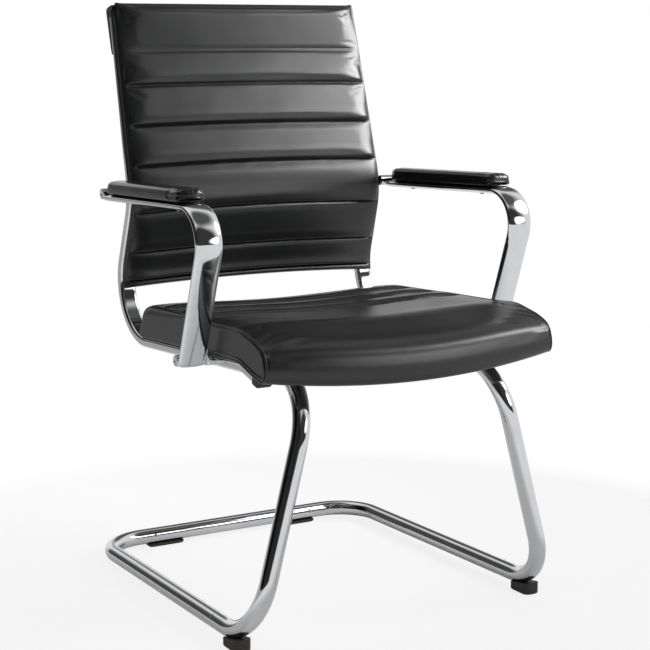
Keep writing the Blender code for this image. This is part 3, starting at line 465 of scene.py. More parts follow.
def beech_plywood():
    """Raw beech plywood: pale face veneer with a grain 3 mm wide that runs across the chair."""
    material, tree, shader, coords = new_material("raw_beech_plywood", "#c79c6a", 0.0, 0.7)
    values = {"Scale": (9.0, 330.0, 330.0)}
    drawn = add(tree, "ShaderNodeMapping", values, {"Vector": coords}).outputs["Vector"]
    fibre = add(tree, "ShaderNodeTexNoise", {"Scale": 1.0, "Detail": 5.0}, {"Vector": drawn})
    vary(tree, shader, fibre.outputs["Fac"], "#b08352", "#d8b285", 0.62, 0.78, 0.0001, 0.6)
    return material


def spunbond_cloth():
    """Black spun-bonded cloth under the seat, with the small square welds that bind its fibres every 3 mm."""
    material, tree, shader, coords = new_material("spunbond_cloth", "#151515", 0.0, 0.92)
    welds = add(tree, "ShaderNodeTexVoronoi", {"Scale": 1 / 0.003, "Randomness": 0.0}, {"Vector": coords})
    vary(tree, shader, welds.outputs["Distance"], "#101010", "#232323", 0.85, 0.97, 0.0002, 0.7)
    return material


def foot_rubber():
    """Dark brown-black rubber of the glides, with the dull bloom of a moulded part."""
    material, tree, shader, coords = new_material("moulded_rubber", "#2c2826", 0.0, 0.6)
    bloom = add(tree, "ShaderNodeTexNoise", {"Scale": 160.0, "Detail": 3.0}, {"Vector": coords})
    vary(tree, shader, bloom.outputs["Fac"], "#231f1d", "#36312e", 0.50, 0.72, 0.0001, 0.5)
    return material


def pale_floor():
    """Matt white studio floor: it takes the chair's shadow, and fades to the white backdrop further out.

    The eye sees the full backdrop's white far out. Reflections see a lower glow towards the rear.
    """
    name = "white_studio_floor"
    material, tree, shader, coords = new_material(name, "#f4f4f4", 0.0, 0.6, Specular_IOR_Level=0.1)
    seen = add(tree, "ShaderNodeLightPath").outputs["Is Camera Ray"]
    lift = add(tree, "ShaderNodeMath", {1: 0.80}, {0: seen}, operation="MULTIPLY").outputs["Value"]
    away = add(tree, "ShaderNodeVectorMath", links={0: coords}, operation="LENGTH").outputs["Value"]
    way = {1: (-0.50, 0.86, 0.0)}
    rear = add(tree, "ShaderNodeVectorMath", way, {0: coords}, operation="DOT_PRODUCT").outputs["Value"]
    ramps = []
    for source, values in (
        (away, {"From Min": 0.45, "From Max": 0.98}),
        (rear, {"From Min": 0.3, "From Max": 1.6, "To Min": 1.0, "To Max": 0.5}),
    ):
        ramp = add(tree, "ShaderNodeMapRange", values, {"Value": source}, interpolation_type="SMOOTHSTEP")
        ramps.append(ramp.outputs["Result"])
    fade = add(tree, "ShaderNodeMath", links={0: ramps[0], 1: lift}, operation="MAXIMUM").outputs["Value"]
    glow = add(tree, "ShaderNodeMath", links={0: ramps[1], 1: seen}, operation="MAXIMUM").outputs["Value"]
    white = add(tree, "ShaderNodeEmission", {"Color": (1.0, 1.0, 1.0, 1.0)}, {"Strength": glow})
    links = {0: fade, 1: shader.outputs["BSDF"], 2: white.outputs["Emission"]}
    mixed = add(tree, "ShaderNodeMixShader", links=links)
    tree.links.new(mixed.outputs["Shader"], tree.nodes["Material Output"].inputs["Surface"])
    return material


def grid_part(grid, around=True, ends=(0, -1)):
    """Quads over a grid of points; around joins last column to first, and ends closes those rows."""
    rows, cols = grid.shape[:2]
    index = np.arange(rows * cols).reshape(rows, cols)
    left = index if around else index[:, :-1]
    right = np.roll(index, -1, axis=1) if around else index[:, 1:]
    quads = np.stack((left[:-1], right[:-1], right[1:], left[1:]), axis=-1).reshape(-1, 4)
    return grid.reshape(-1, 3), quads.tolist() + [index[row].tolist() for row in ends]


def laddered(grid):
    """A closed strip of loops whose two flat end loops are filled by rungs from side to side."""
    points, faces = grid_part(grid, ends=())
    rows, cols = grid.shape[:2]
    index = np.arange(rows * cols).reshape(rows, cols)
    low = np.arange(cols // 2 - 1)
    for row in (0, rows - 1):
        ring = index[row]
        rungs = np.stack((ring[low], ring[low + 1], ring[cols - 2 - low], ring[cols - 1 - low]), axis=-1)
        faces += rungs.tolist()
    return points, faces


def new_mesh(name, points, faces, merge=0.0):
    """A mesh whose corners within the merge distance are made one, and whose faces are turned outwards."""
    mesh = bpy.data.meshes.new(name)
    mesh.from_pydata(points.tolist(), [], faces)
    shell = bmesh.new()
    shell.from_mesh(mesh)
    if merge:
        bmesh.ops.remove_doubles(shell, verts=shell.verts, dist=merge)
    bmesh.ops.recalc_face_normals(shell, faces=shell.faces)
    shell.to_mesh(mesh)
    shell.free()
    return mesh


def new_object(name, data):
    """An object with its data, linked into the scene."""
    item = bpy.data.objects.new(name, data)
    bpy.context.scene.collection.objects.link(item)
    return item


def make(name, part, material, replaced=(), sharp=32.0):
    """One piece from its points and faces, smooth but for the edges over the sharp angle."""
    mesh = new_mesh(name, *part, MERGE)
    mesh.shade_smooth()
    mesh.set_sharp_from_angle(angle=math.radians(sharp))
    mesh.materials.append(material)
    piece = new_object(name, mesh)
    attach(piece, "root")
    if replaced:
        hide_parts(*replaced)
    return piece


def power_oval(width, thickness, power, count):
    """Section |2a / width|^power + |2b / thickness|^power = 1: round at 2, boxier above."""
    angle = np.linspace(0.0, 2 * math.pi, count, endpoint=False)
    c, s = np.cos(angle), np.sin(angle)
    a = np.sign(c) * np.abs(c) ** (2 / power) * width / 2
    b = np.sign(s) * np.abs(s) ** (2 / power) * thickness / 2
    return np.stack((a, b), axis=1)


def rounded_bar(width, thickness, corner, count):
    """A rectangle with a quarter circle at each corner, at even steps round the outline."""
    turn = np.linspace(0.0, math.pi / 2, 7)
    loop = []
    for k, (sx, sy) in enumerate(((1, 1), (-1, 1), (-1, -1), (1, -1))):
        centre = np.array((sx * (width / 2 - corner), sy * (thickness / 2 - corner)))
        angle = turn + k * math.pi / 2
        loop.append(centre + corner * np.stack((np.cos(angle), np.sin(angle)), axis=1))
    around = 2 * (width + thickness) - (8 - 2 * math.pi) * corner
    return spaced(np.vstack(loop + [loop[0][:1]]), around / count)[:-1]


def curve_through(points, per=8):
    """A smooth curve through the points: between two of them, a cubic that follows their neighbours."""
    points = np.asarray(points, float)
    padded = np.vstack((2 * points[0] - points[1], points, 2 * points[-1] - points[-2]))
    a, b, c, d = padded[:-3, None], padded[1:-2, None], padded[2:-1, None], padded[3:, None]
    t = np.linspace(0.0, 1.0, per, endpoint=False)[None, :, None]
    square = (a - 2.5 * b + 2 * c - 0.5 * d) * t ** 2
    cube = (1.5 * (b - c) + 0.5 * (d - a)) * t ** 3
    run = b + 0.5 * (c - a) * t + square + cube
    return np.vstack((run.reshape(-1, points.shape[1]), points[-1:]))


def side_rings(line, middle_x, side, section, stations):
    """Rings of a section, or of one for each station, carried along a side line: across is x, up is n."""
    section = np.broadcast_to(section, (len(stations),) + np.shape(section)[-2:])
    s = np.asarray(stations)[:, None]
    y, z = line.at(np.broadcast_to(s, section.shape[:2]), section[..., 1])
    x = side * (middle_x(s, z) - section[..., 0])
    return np.stack((x, y, z), axis=-1)


def shrunk(section, inset):
    """A section drawn in by an inset on each side."""
    reach = np.abs(section).max(axis=0)
    return section * (reach - inset) / reach


def rounded_end(section, mouth, length, out, radius, steps=6):
    """Sections and stations of a plug's head whose rim is a quarter round of the radius."""
    turn = np.linspace(0.0, math.pi / 2, steps)
    insets = radius * (1 - np.cos(turn))
    stations = mouth + out * (length - radius + radius * np.sin(turn))
    sections = [section] + [shrunk(section, inset) for inset in insets]
    return np.stack(sections), np.concatenate(([mouth], stations))


def turned(levels, centre, axis, count=40):
    """A turned solid: (height, radius) levels along an axis from a centre, as rings."""
    axis = np.asarray(axis, float) / np.linalg.norm(axis)
    helper = np.array((0.0, 0.0, 1.0)) if abs(axis[2]) < 0.9 else np.array((1.0, 0.0, 0.0))
    across = np.cross(helper, axis)
    across /= np.linalg.norm(across)
    up = np.cross(axis, across)
    angle = np.linspace(0.0, 2 * math.pi, count, endpoint=False)[None, :, None]
    levels = np.asarray(levels, float)
    height, radius = levels[:, 0, None, None], levels[:, 1, None, None]
    return np.asarray(centre) + axis * height + radius * (across * np.cos(angle) + up * np.sin(angle))


def cord_rings(path, radius, count=12):
    """A round cord along a path: at each point a circle square to the path's own direction."""
    way = unit_rows(np.gradient(path, axis=0))
    across = unit_rows(np.cross(way, np.array((0.5774, 0.5774, 0.5774))))
    up = np.cross(way, across)
    angle = np.linspace(0.0, 2 * math.pi, count, endpoint=False)[None, :, None]
    radius = np.broadcast_to(radius, (len(path),))[:, None, None]
    return path[:, None] + radius * (across[:, None] * np.cos(angle) + up[:, None] * np.sin(angle))


def round_loop(outline, count, blur):
    """A closed outline at even steps, its corners rounded by a circular bell-curve average of its points."""
    closed = np.vstack((outline, outline[:1]))
    marks = path_marks(closed)
    points = read_path(closed, marks, np.linspace(0.0, marks[-1], count, endpoint=False))
    waves = np.fft.fftfreq(count, d=marks[-1] / count)
    soften = np.exp(-2 * (math.pi * waves * blur) ** 2)[:, None]
    return np.fft.ifft(np.fft.fft(points, axis=0) * soften, axis=0).real


def closed_body(loops, shares, half_x, rim, spine_inset):
    """A stuffed body from side outlines: across its width, then round the rim and over its side panels.

    The middle is the outlines at their shares of the half width. Past each side the last outline closes in
    on its spine by a share g, while x follows a quarter round of the rim and then stays flat.
    """
    s, n = loops[..., 0], loops[..., 1]
    y, z = RAIL.at(s, n)
    middle = np.stack((shares[:, None] * (half_x(s, z) - rim(s, n)), y, z), axis=-1)
    panels = []
    for side, outline in ((-1.0, loops[0]), (1.0, loops[-1])):
        low, high = outline.min(axis=0), outline.max(axis=0)
        spine = np.clip(outline[:, 0], low[0] + spine_inset, high[0] - spine_inset)
        top = np.interp(spine, *upper_edge(outline))
        base = np.interp(spine, *upper_edge(outline, -1.0))
        centre = np.stack((spine, (top + base) / 2), axis=1)
        ring = outline + (centre - outline) * PANEL_SHARES[:, None, None]
        rs, rn = ring[..., 0], ring[..., 1]
        ry, rz = RAIL.at(rs, rn)
        reach = np.linalg.norm(centre - outline, axis=1)[None, :] * PANEL_SHARES[:, None]
        radius = rim(outline[:, 0], outline[:, 1])
        turn = np.clip(reach / radius, 0.0, 1.0)
        x = half_x(rs, rz) - radius + radius * np.sqrt(1 - (1 - turn) ** 2)
        panels.append(np.stack((side * x, ry, rz), axis=-1))
    return np.concatenate((panels[0][::-1], middle, panels[1]))


def row_marks(shares):
    """Where each row of a closed body lies: its shares across, and on past both sides down the panels."""
    return np.concatenate((-1.0 - PANEL_SHARES[::-1], shares, 1.0 + PANEL_SHARES))


def read_between(values, axis, marks, wanted):
    """Values at the wanted marks along an axis, in proportion between the two known ones on either side."""
    after = np.clip(np.searchsorted(marks, wanted, "right"), 1, len(marks) - 1)
    part = (wanted - marks[after - 1]) / (marks[after] - marks[after - 1])
    part = part[:, None, None] if axis == 0 else part[None, :, None]
    return np.take(values, after - 1, axis) * (1 - part) + np.take(values, after, axis) * part


def stuffed(grid, shares, twin, held, limit):
    """The grid after its filling has swelled it: a cloth simulation moves a coarser twin, held at its seams.

    Each point of the twin moves by the limit at most, and the grid takes on that movement.
    """
    points, faces = laddered(twin)
    bag = new_object("stuffing", new_mesh("stuffing", points, faces))
    bag.vertex_groups.new(name="held").add(np.flatnonzero(held).tolist(), 1.0, "REPLACE")
    cloth = bag.modifiers.new("Filling", "CLOTH")
    cloth.point_cache.frame_start = 1
    cloth.point_cache.frame_end = CLOTH_FRAMES
    cloth.settings.quality = 5
    cloth.settings.use_pressure = True
    cloth.settings.uniform_pressure_force = CLOTH_PRESSURE
    cloth.settings.vertex_group_mass = "held"
    cloth.settings.effector_weights.gravity = 0.0
    cloth.collision_settings.use_collision = False
    for frame in range(1, CLOTH_FRAMES + 1):
        bpy.context.scene.frame_set(frame)
    result = bag.evaluated_get(bpy.context.evaluated_depsgraph_get()).to_mesh()
    places = np.empty(len(points) * 3)
    result.vertices.foreach_get("co", places)
    move = (places.reshape(-1, 3) - points).reshape(twin.shape)
    bpy.data.objects.remove(bag)
    bpy.context.scene.frame_set(1)
    reach = np.linalg.norm(move, axis=-1, keepdims=True)
    move *= np.minimum(1.0, limit / np.maximum(reach, 1e-9))
    move = read_between(move, 0, row_marks(TWIN_SHARES), row_marks(shares))
    move = np.concatenate((move, move[:, :1]), axis=1)
    few, many = twin.shape[1], grid.shape[1]
    return grid + read_between(move, 1, np.arange(few + 1) / few, np.arange(many) / many)


def cushion(loops, shares, twin_loops, held, shape, limit):
    """A swelled cushion, from its outlines and its twin's. The twin's side panels are held too."""
    twin = closed_body(twin_loops, TWIN_SHARES, *shape)
    pinned = np.ones(twin.shape[:2], bool)
    pinned[len(PANEL_SHARES):-len(PANEL_SHARES)] = held
    return stuffed(closed_body(loops, shares, *shape), shares, twin, pinned, limit)


def upper_edge(outline, sign=1.0):
    """Distances and heights of the outline's upper edge, or of its lower one with sign -1, in order of s."""
    low, high = outline[:, 0].min(), outline[:, 0].max()
    bins = np.linspace(low, high, 60)
    slot = np.clip(np.digitize(outline[:, 0], bins), 1, 59)
    edge = np.full(60, np.nan)
    for k in range(1, 60):
        inside = outline[slot == k, 1]
        if len(inside):
            edge[k] = (inside * sign).max() * sign
    known = ~np.isnan(edge)
    return bins[known], edge[known]


def seat_outline(u):
    """Side outline of the seat at a share u of the half width: flat base, drooping lip, bowed nose, dish."""
    inward = 1.0 - u * u
    face = RAIL_T / 2
    base = face + GAP
    rear = RAIL.at_depth(SEAT_REAR_Y) + SEAT_REAR_CORNER * abs(u) ** 10
    cap_end = RAIL.length + RAIL_CAP_L + 2 * GAP
    top = face + SEAT_SEAM_H + SEAT_CROWN * (1.0 - abs(u) ** 5) - SEAT_DISH * inward * inward
    lip = face + SEAT_LIP_SIDE - SEAT_LIP_DROOP * inward
    nose = RAIL.length + SEAT_NOSE_SIDE + SEAT_NOSE_BOW * inward
    height = top + SEAT_FRONT_RISE - lip
    knee = RAIL.at_depth(KNEE_Y)
    flap = base + (SEAT_FLAP_LOW - base) * float(abs(u) < SEAT_FLAP_U + 0.001)
    wrap = rear + SEAT_FLAP_T
    under = [(rear, flap), (wrap, flap)] + [(s, base) for s in np.linspace(wrap + 0.001, cap_end, 12)]
    front = [(nose - SEAT_NOSE_ROUND * back, lip + height * up) for back, up in NOSE_SHAPE]
    over = [(knee, top + SEAT_FRONT_RISE / 3), ((knee + RAIL.at_depth(SEAT_SEAMS_Y[-1])) / 2, top)]
    raised = top + SEAT_REAR_LIFT * abs(u) ** 6
    end = [(rear + SEAT_REAR_ROUND * on, face + (raised - face) * up) for on, up in REAR_SHAPE]
    return np.vstack((under, curve_through(front + over + end)))


def seat_half_x(s, z):
    """Half width of the seat: it widens to the front, and draws in a little between its ends."""
    start = RAIL.at_depth(SEAT_REAR_Y)
    run = np.clip((s - start) / (RAIL.length + SEAT_NOSE_SIDE - start), 0.0, 1.0)
    return RAIL_OUT_X + SEAT_W[0] + (SEAT_W[1] - SEAT_W[0]) * run - SEAT_DRAW_IN * np.sin(math.pi * run)


def seat_rim(s, n):
    """Radius of the seat's side edges: small below and at the front, and soft at the rear of the top."""
    run = smooth_step(s, RAIL.at_depth(0.155), RAIL.at_depth(-0.06))
    top = 0.017 - 0.012 * run
    return 0.003 + (top - 0.003) * smooth_step(n, 0.012, 0.045)


def seat_loops(shares, count):
    """The seat's outlines with its three tucks, the swell beside each, and small puckers along them."""
    loops = np.stack([round_loop(seat_outline(u), count, 0.0032) for u in shares])
    s, n = loops[..., 0], loops[..., 1]
    u = shares[:, None]
    top = smooth_step(n - RAIL_T / 2, 0.030, 0.044)
    fade = 1.0 - np.abs(u) ** 14
    rise = np.zeros_like(s)
    for y in SEAT_SEAMS_Y:
        off = s - RAIL.at_depth(y)
        pucker = 1.0 + 0.10 * np.sin(u * 41.0 + y * 90.0) * np.sin(u * 17.0)
        rise -= (0.0052 * bell(off, 0.0042) + 0.0020 * bell(off - 0.004, 0.010)) * pucker
        rise += 0.0038 * bell(off + 0.0130, 0.0090)
    loops[..., 1] += top * fade * rise
    return loops


def seat_pieces(leather, welt):
    """The seat cushion and the twin welts round each of its side panels."""
    flap_ends = np.array((SEAT_FLAP_U, SEAT_FLAP_U + 0.003))
    shares = np.sort(np.concatenate((bunched(92), flap_ends, -flap_ends)))
    loops = seat_loops(shares, 660)
    twin_loops = seat_loops(TWIN_SHARES, 176)
    s, n = twin_loops[..., 0], twin_loops[..., 1]
    seams = np.min([np.abs(s - RAIL.at_depth(y)) for y in SEAT_SEAMS_Y], axis=0)
    held = (n < 0.014) | ((seams < 0.0045) & (n > 0.030))
    shape = (seat_half_x, seat_rim, SEAT_SPINE_INSET)
    grid = cushion(loops, shares, twin_loops, held, shape, SEAT_SWELL)
    piece = make("seat_upholstery", laddered(grid), leather, ["seat_cushion"], sharp=80.0)
    for word, side in SIDES:
        for place, inset, out in WELTS:
            path = welt_path(loops[-1], inset, out)
            path[:, 0] *= side
            cord = cord_rings(np.vstack((path, path[:1])), WELT_R)
            make("seat_welt_" + place + "_" + word, grid_part(cord, ends=()), welt, sharp=80.0)


def welt_path(outline, inset, out):
    """The side outline drawn in by an inset, laid on the rim's round, and sunk in towards the rear."""
    closed = np.vstack((outline, outline[:1]))
    way = unit_rows(np.gradient(closed, axis=0))
    inner = closed + np.stack((-way[:, 1], way[:, 0]), axis=1) * inset
    s, n = round_loop(inner[:-1], 300, 0.002).T
    y, z = RAIL.at(s, n)
    radius = seat_rim(s, n)
    drop = radius * (1 - np.sqrt(1 - (1 - np.clip(inset / radius, 0.0, 1.0)) ** 2))
    sunk = 0.006 * (1 - smooth_step(s, RAIL.at_depth(0.03), RAIL.at_depth(-0.05)))
    return np.stack((seat_half_x(s, z) - drop - out - sunk, y, z), axis=1)


def back_low(u):
    """Distance along the rail of the back's bottom edge at a share u: it arches up towards the middle."""
    return RAIL.at_height(BACK_BOTTOM_Z) - BACK_ARCH * (1.0 - u * u)


def back_outline(u):
    """Side outline of the back before its channels: a thin slab that follows the rails, arched below."""
    base = RAIL_T / 2 + GAP
    top = RAIL.at_height(BACK_TOP_Z)
    low = back_low(u)
    thick = base + BACK_SEAM_T
    behind = [(s, base) for s in np.linspace(top, low, 24)]
    front = [(s, thick) for s in np.linspace(low, top, 24)]
    return np.array(behind + front)


def back_half_x(s, z):
    """Half width of the back: just inside the rails' outer sides."""
    return rail_out_x(z) - BACK_MARGIN


def back_rim(s, n):
    """Radius of the back's side edges, the same all along."""
    return np.full_like(s, 0.0035)


def back_loops(shares, count):
    """The back's outlines with seven channels: each is full above its lower seam and fades upwards."""
    loops = np.stack([round_loop(back_outline(u), count, 0.0022) for u in shares])
    s, n = loops[..., 0], loops[..., 1]
    u = shares[:, None]
    top = RAIL.at_height(BACK_TOP_Z)
    low = back_low(u)
    share = (s - top) / (low - top)
    front = smooth_step(n - RAIL_T / 2, 0.0035, 0.0075)
    fade = 1.0 - np.abs(u) ** 36
    rise = np.zeros_like(s)
    hem = 1.0 - BACK_HEM_UP / (low - top)
    seams = (*BACK_SEAMS[:-1], float(hem.min()))
    for k, (above, below) in enumerate(zip(seams, seams[1:])):
        v = np.clip((share - above) / (below - above), 0.0, 1.0)
        inside = (share > above) & (share <= below)
        curl = np.sqrt(1 - np.clip((v - 0.89) / 0.11, 0.0, 1.0) ** 2)
        if k == 0:
            full = (1.05 - 0.85 * v) * smooth_step(v, -0.03, 0.13)
        elif k == 1:
            full = (0.18 + 0.82 * smooth_step(v, -0.25, 0.95)) * curl
        else:
            full = 0.34 * (1 - np.exp(-v / 0.05)) + 0.56 * v + 0.10 * smooth_step(v, 0.62, 0.86)
            full *= curl
        rise += inside * BACK_PUFF * full
        if k:
            off = (share - below) * (low - top)
            wave = 1.0 + 0.3 * np.sin(u * 37.0 + k * 2.1) * np.sin(u * 13.0 + k)
            rise -= 0.0016 * bell(off - 0.0008, 0.0016) * wave
    roll = np.clip((share - seams[-1]) / (1.0 - seams[-1]), 0.0, 1.0)
    rise += 0.0040 * np.sqrt(np.sin(math.pi * roll).clip(0.0, 1.0)) * (share > seams[-1])
    rise *= 1.0 + 0.02 * np.sin(u * 9.0 + share * 31.0)
    loops[..., 1] += front * fade * rise
    return loops


def back_pieces(leather, welt):
    """The back cushion and the rolled welt along its top edge, with a knob at each end."""
    shares = bunched(96)
    twin_loops = back_loops(TWIN_SHARES, 248)
    s, n = twin_loops[..., 0], twin_loops[..., 1]
    top = RAIL.at_height(BACK_TOP_Z)
    long = back_low(TWIN_SHARES[:, None]) - top
    seams = np.min([np.abs(s - top - long * share) for share in BACK_SEAMS], axis=0)
    held = (n < RAIL_T / 2 + 0.005) | (seams < 0.0030)
    shape = (back_half_x, back_rim, BACK_SPINE_INSET)
    grid = cushion(back_loops(shares, 620), shares, twin_loops, held, shape, BACK_SWELL)
    piece = make("back_upholstery", laddered(grid), leather, ["back_cushion"], sharp=80.0)
    y, z = RAIL.at(top + 0.0015, RAIL_T / 2 + 0.0035)
    half = rail_out_x(z) - 0.004
    x = bunched(81) * half
    knob = bell(np.abs(x) - half + 0.004, 0.0045)
    tip = np.sqrt(np.clip(1 - ((np.abs(x) - half + 0.003) / 0.003).clip(0.0, 1.0) ** 2, 0.02, 1.0))
    path = np.stack((x, np.full_like(x, y), np.full_like(x, z)), axis=1)
    cord = cord_rings(path, (0.0034 + 0.0011 * knob) * tip, 20)
    make("back_top_welt", grid_part(cord), welt, sharp=80.0)


def pocket_piece(leather):
    """The pocket over the rails' tops: a lid on both plugs and a flap behind that thins to its hem."""
    face = RAIL_T / 2
    behind = -face - GAP
    top = RAIL.at_height(BACK_TOP_Z)
    lid = -2 * GAP - RAIL_PLUG_L
    outline = [(top, face), (top, behind)]
    outline += [(top + 0.002, behind - POCKET_T + 0.001), (top + 0.006, behind - POCKET_T)]
    outline += [(POCKET_DROP - 0.012, behind - POCKET_LOW_T), (POCKET_DROP, behind - POCKET_LOW_T / 3)]
    outline += [(POCKET_DROP, behind), (lid, behind), (lid, face)]
    shares = bunched(61)
    loop = round_loop(np.array(outline), 200, 0.0010)
    loops = np.repeat(loop[None], len(shares), axis=0)
    y, z = RAIL.at(loops[..., 0], loops[..., 1])
    x = shares[:, None] * (rail_out_x(z) - 0.0005)
    grid = np.stack((x, y, z), axis=-1)
    piece = make("back_top_sleeve", grid_part(grid), leather, ["back_top_pocket"], sharp=50.0)


def rear_panel_piece(leather):
    """The leather panel behind the back: thin, with a stitched line inside its edge and a slight swell."""
    start = POCKET_DROP + GAP
    end = RAIL.at_height(PANEL_BOTTOM_Z)
    run = np.linspace(start, end, 40)
    outline = np.array([(s, PANEL_LOW) for s in run] + [(s, PANEL_HIGH) for s in run[::-1]])
    shares = bunched(71)
    loop = round_loop(outline, 360, 0.0008)
    loops = np.repeat(loop[None], len(shares), axis=0)
    s, n = loops[..., 0], loops[..., 1]
    y, z = RAIL.at(s, n)
    half = rail_out_x(z) - RAIL_W - 0.0012
    x = shares[:, None] * half
    edge = np.minimum(np.minimum(s - start, end - s), half - np.abs(x))
    outer = smooth_step(PANEL_HIGH - n, 0.0012, 0.0030)
    n = n - outer * (0.0012 * smooth_step(edge, 0.008, 0.05) - 0.0006 * bell(edge - 0.009, 0.0014))
    y, z = RAIL.at(s, n)
    grid = np.stack((x, y, z), axis=-1)
    piece = make("back_rear_panel", grid_part(grid), leather, ["back_rear_cover"], sharp=50.0)


def rail_pieces(chrome, plastic):
    """The side rails, the plugs in their tops and the caps over their front ends."""
    outline = rounded_bar(RAIL_W, RAIL_T, RAIL_CORNER, 64)
    stations = np.linspace(0.0, RAIL.length, 300)
    cap = outline - np.array((0.0, RAIL_CAP_DROP)) * (outline[:, 1:] < 0)
    for word, side in SIDES:
        rings = side_rings(RAIL, rail_middle_x, side, outline, stations)
        make("rail_tube_" + word, grid_part(rings), chrome, ["side_rail_" + word])
        sections, places = rounded_end(cap, RAIL.length + GAP, RAIL_CAP_L, 1.0, 0.0028)
        rings = side_rings(RAIL, rail_middle_x, side, sections, places)
        make("rail_end_cap_" + word, grid_part(rings), plastic, ["rail_front_cap_" + word])
        sections, places = rounded_end(outline, -GAP, RAIL_PLUG_L, -1.0, 0.002)
        rings = side_rings(RAIL, rail_middle_x, side, sections, places)
        node = "rail_top_plug_" + word
        make("rail_head_plug_" + word, grid_part(rings), plastic, [node])


def base_path():
    """The base tube's line: two top runs, two legs, two floor runs and the rear run, as one path."""
    drop = BASE_DROP / math.cos(math.radians(SEAT_SLOPE))
    half = [
        (LEG_TOP_X, TOP_RUN_END_Y, seat_line_z(TOP_RUN_END_Y) - drop),
        (LEG_TOP_X, LEG_TOP_Y, seat_line_z(LEG_TOP_Y) - drop),
        (BASE_FRONT_X, BASE_FRONT_Y, GLIDE_H + TUBE_R),
        (BASE_REAR_X, BASE_REAR_Y, REAR_PAD_H + TUBE_R),
    ]
    other = [(-x, y, z) for x, y, z in half]
    return fillet(other + half[::-1], BASE_RADII + BASE_RADII[::-1])


def base_piece(chrome):
    """The bent base tube."""
    path = spaced(base_path(), 0.004)
    make("base_bent_tube", grid_part(cord_rings(path, TUBE_R, 40)), chrome, ["base_tube"])


def plan_box(node):
    """Centre and half size of a node's box, seen from above."""
    low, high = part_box(node)
    centre = np.array(((low.x + high.x) / 2, (low.y + high.y) / 2))
    half = np.array(((high.x - low.x) / 2, (high.y - low.y) / 2))
    return centre, half


def at_level(spots, z):
    """Places on the plan as points at a height, or each at its own."""
    return np.column_stack((spots, np.broadcast_to(z, (len(spots),))))


def glide_piece(word, side, rubber):
    """A front glide: a rounded block, chamfered at the floor and hollowed on top to the tube it carries."""
    centre, half = plan_box("front_glide_" + word)
    plan = rounded_bar(2 * half[0], 2 * half[1], GLIDE_CORNER, 72)
    back = (centre[1] - BASE_FRONT_Y) / (BASE_REAR_Y - BASE_FRONT_Y)
    tube = BASE_FRONT_X + (BASE_REAR_X - BASE_FRONT_X) * back
    path = spaced(base_path(), 0.002)
    near = np.abs(path[:, 1] - centre[1]) < 0.045
    path = path[(path[:, 0] * side > 0) & (path[:, 2] < 0.06) & near]
    path = path[np.argsort(path[:, 1])]
    rings = [at_level(centre + plan * scale, z) for scale, z in ((0.93, 0.0), (0.99, 0.0012), (1.0, 0.003))]
    for scale in np.concatenate(([1.0], np.linspace(0.985, 0.02, 16))):
        spot = centre + plan * scale
        front = (centre[1] + half[1] - spot[:, 1]) / (2 * half[1])
        wall = GLIDE_WALL_REAR + (GLIDE_WALL_FRONT - GLIDE_WALL_REAR) * front
        line_z = np.interp(spot[:, 1], path[:, 1], path[:, 2])
        off = np.abs(spot[:, 0] - side * tube)
        under = line_z - np.sqrt(np.clip((TUBE_R + GAP) ** 2 - off ** 2, 0.0, None))
        rings.append(at_level(spot, np.where(off < TUBE_R + GAP, np.minimum(under, wall), wall)))
    part = grid_part(np.stack(rings))
    make("glide_block_" + word, part, rubber, ["front_glide_" + word], sharp=40.0)


def rear_pad_piece(word, rubber):
    """A flat pad under the rear run: a long block with bevelled ends."""
    centre, half = plan_box("rear_pad_" + word)
    loop = power_oval(2 * half[0], 2 * half[1], 9.0, 96)
    levels = [((0.93, 0.90), 0.0), ((0.98, 0.98), 0.0012), ((1.0, 1.0), 0.0030)]
    levels += [((1.0, 1.0), REAR_PAD_H - 0.0004)]
    levels += [((1.0, scale), REAR_PAD_H - 0.0002) for scale in (0.97, 0.7, 0.3)]
    rings = [at_level(centre + loop * scale, z) for scale, z in levels]
    part = grid_part(np.stack(rings))
    make("floor_pad_" + word, part, rubber, ["rear_pad_" + word], sharp=40.0)


def head_pieces(steel):
    """Domed screw and rivet heads, each where its own node is and standing off what it is driven into."""
    for word, side in SIDES:
        for pattern, radius, height, facing in HEADS:
            node = pattern % word
            low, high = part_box(node)
            out = np.array(facing) * (side, 1.0, 1.0)
            out /= np.linalg.norm(out)
            centre = np.array((low + high) / 2) - out * height / 2
            levels = [(h * height, r * radius) for h, r in DOME]
            make(node + "_head", grid_part(turned(levels, centre, out, 28)), steel, [node])


def stub_levels(start, end):
    """Levels of a stub from the rail out: the body, a fine groove, and a disc with a round rim and a dish."""
    levels = [(start, STUB_R), (end - 0.0043, STUB_R), (end - 0.0043, STUB_R - 0.0008)]
    levels += [(end - 0.0035, STUB_R - 0.0008), (end - 0.0035, STUB_R)]
    for t in np.linspace(0.0, math.pi / 2, 6):
        height = end - STUB_RIM + STUB_RIM * math.sin(t)
        levels.append((height, STUB_R - STUB_RIM + STUB_RIM * math.cos(t)))
    return levels + [(end, STUB_R - 0.0030), (end - 0.0012, STUB_R - 0.0036), (end - 0.0016, 0.0005)]


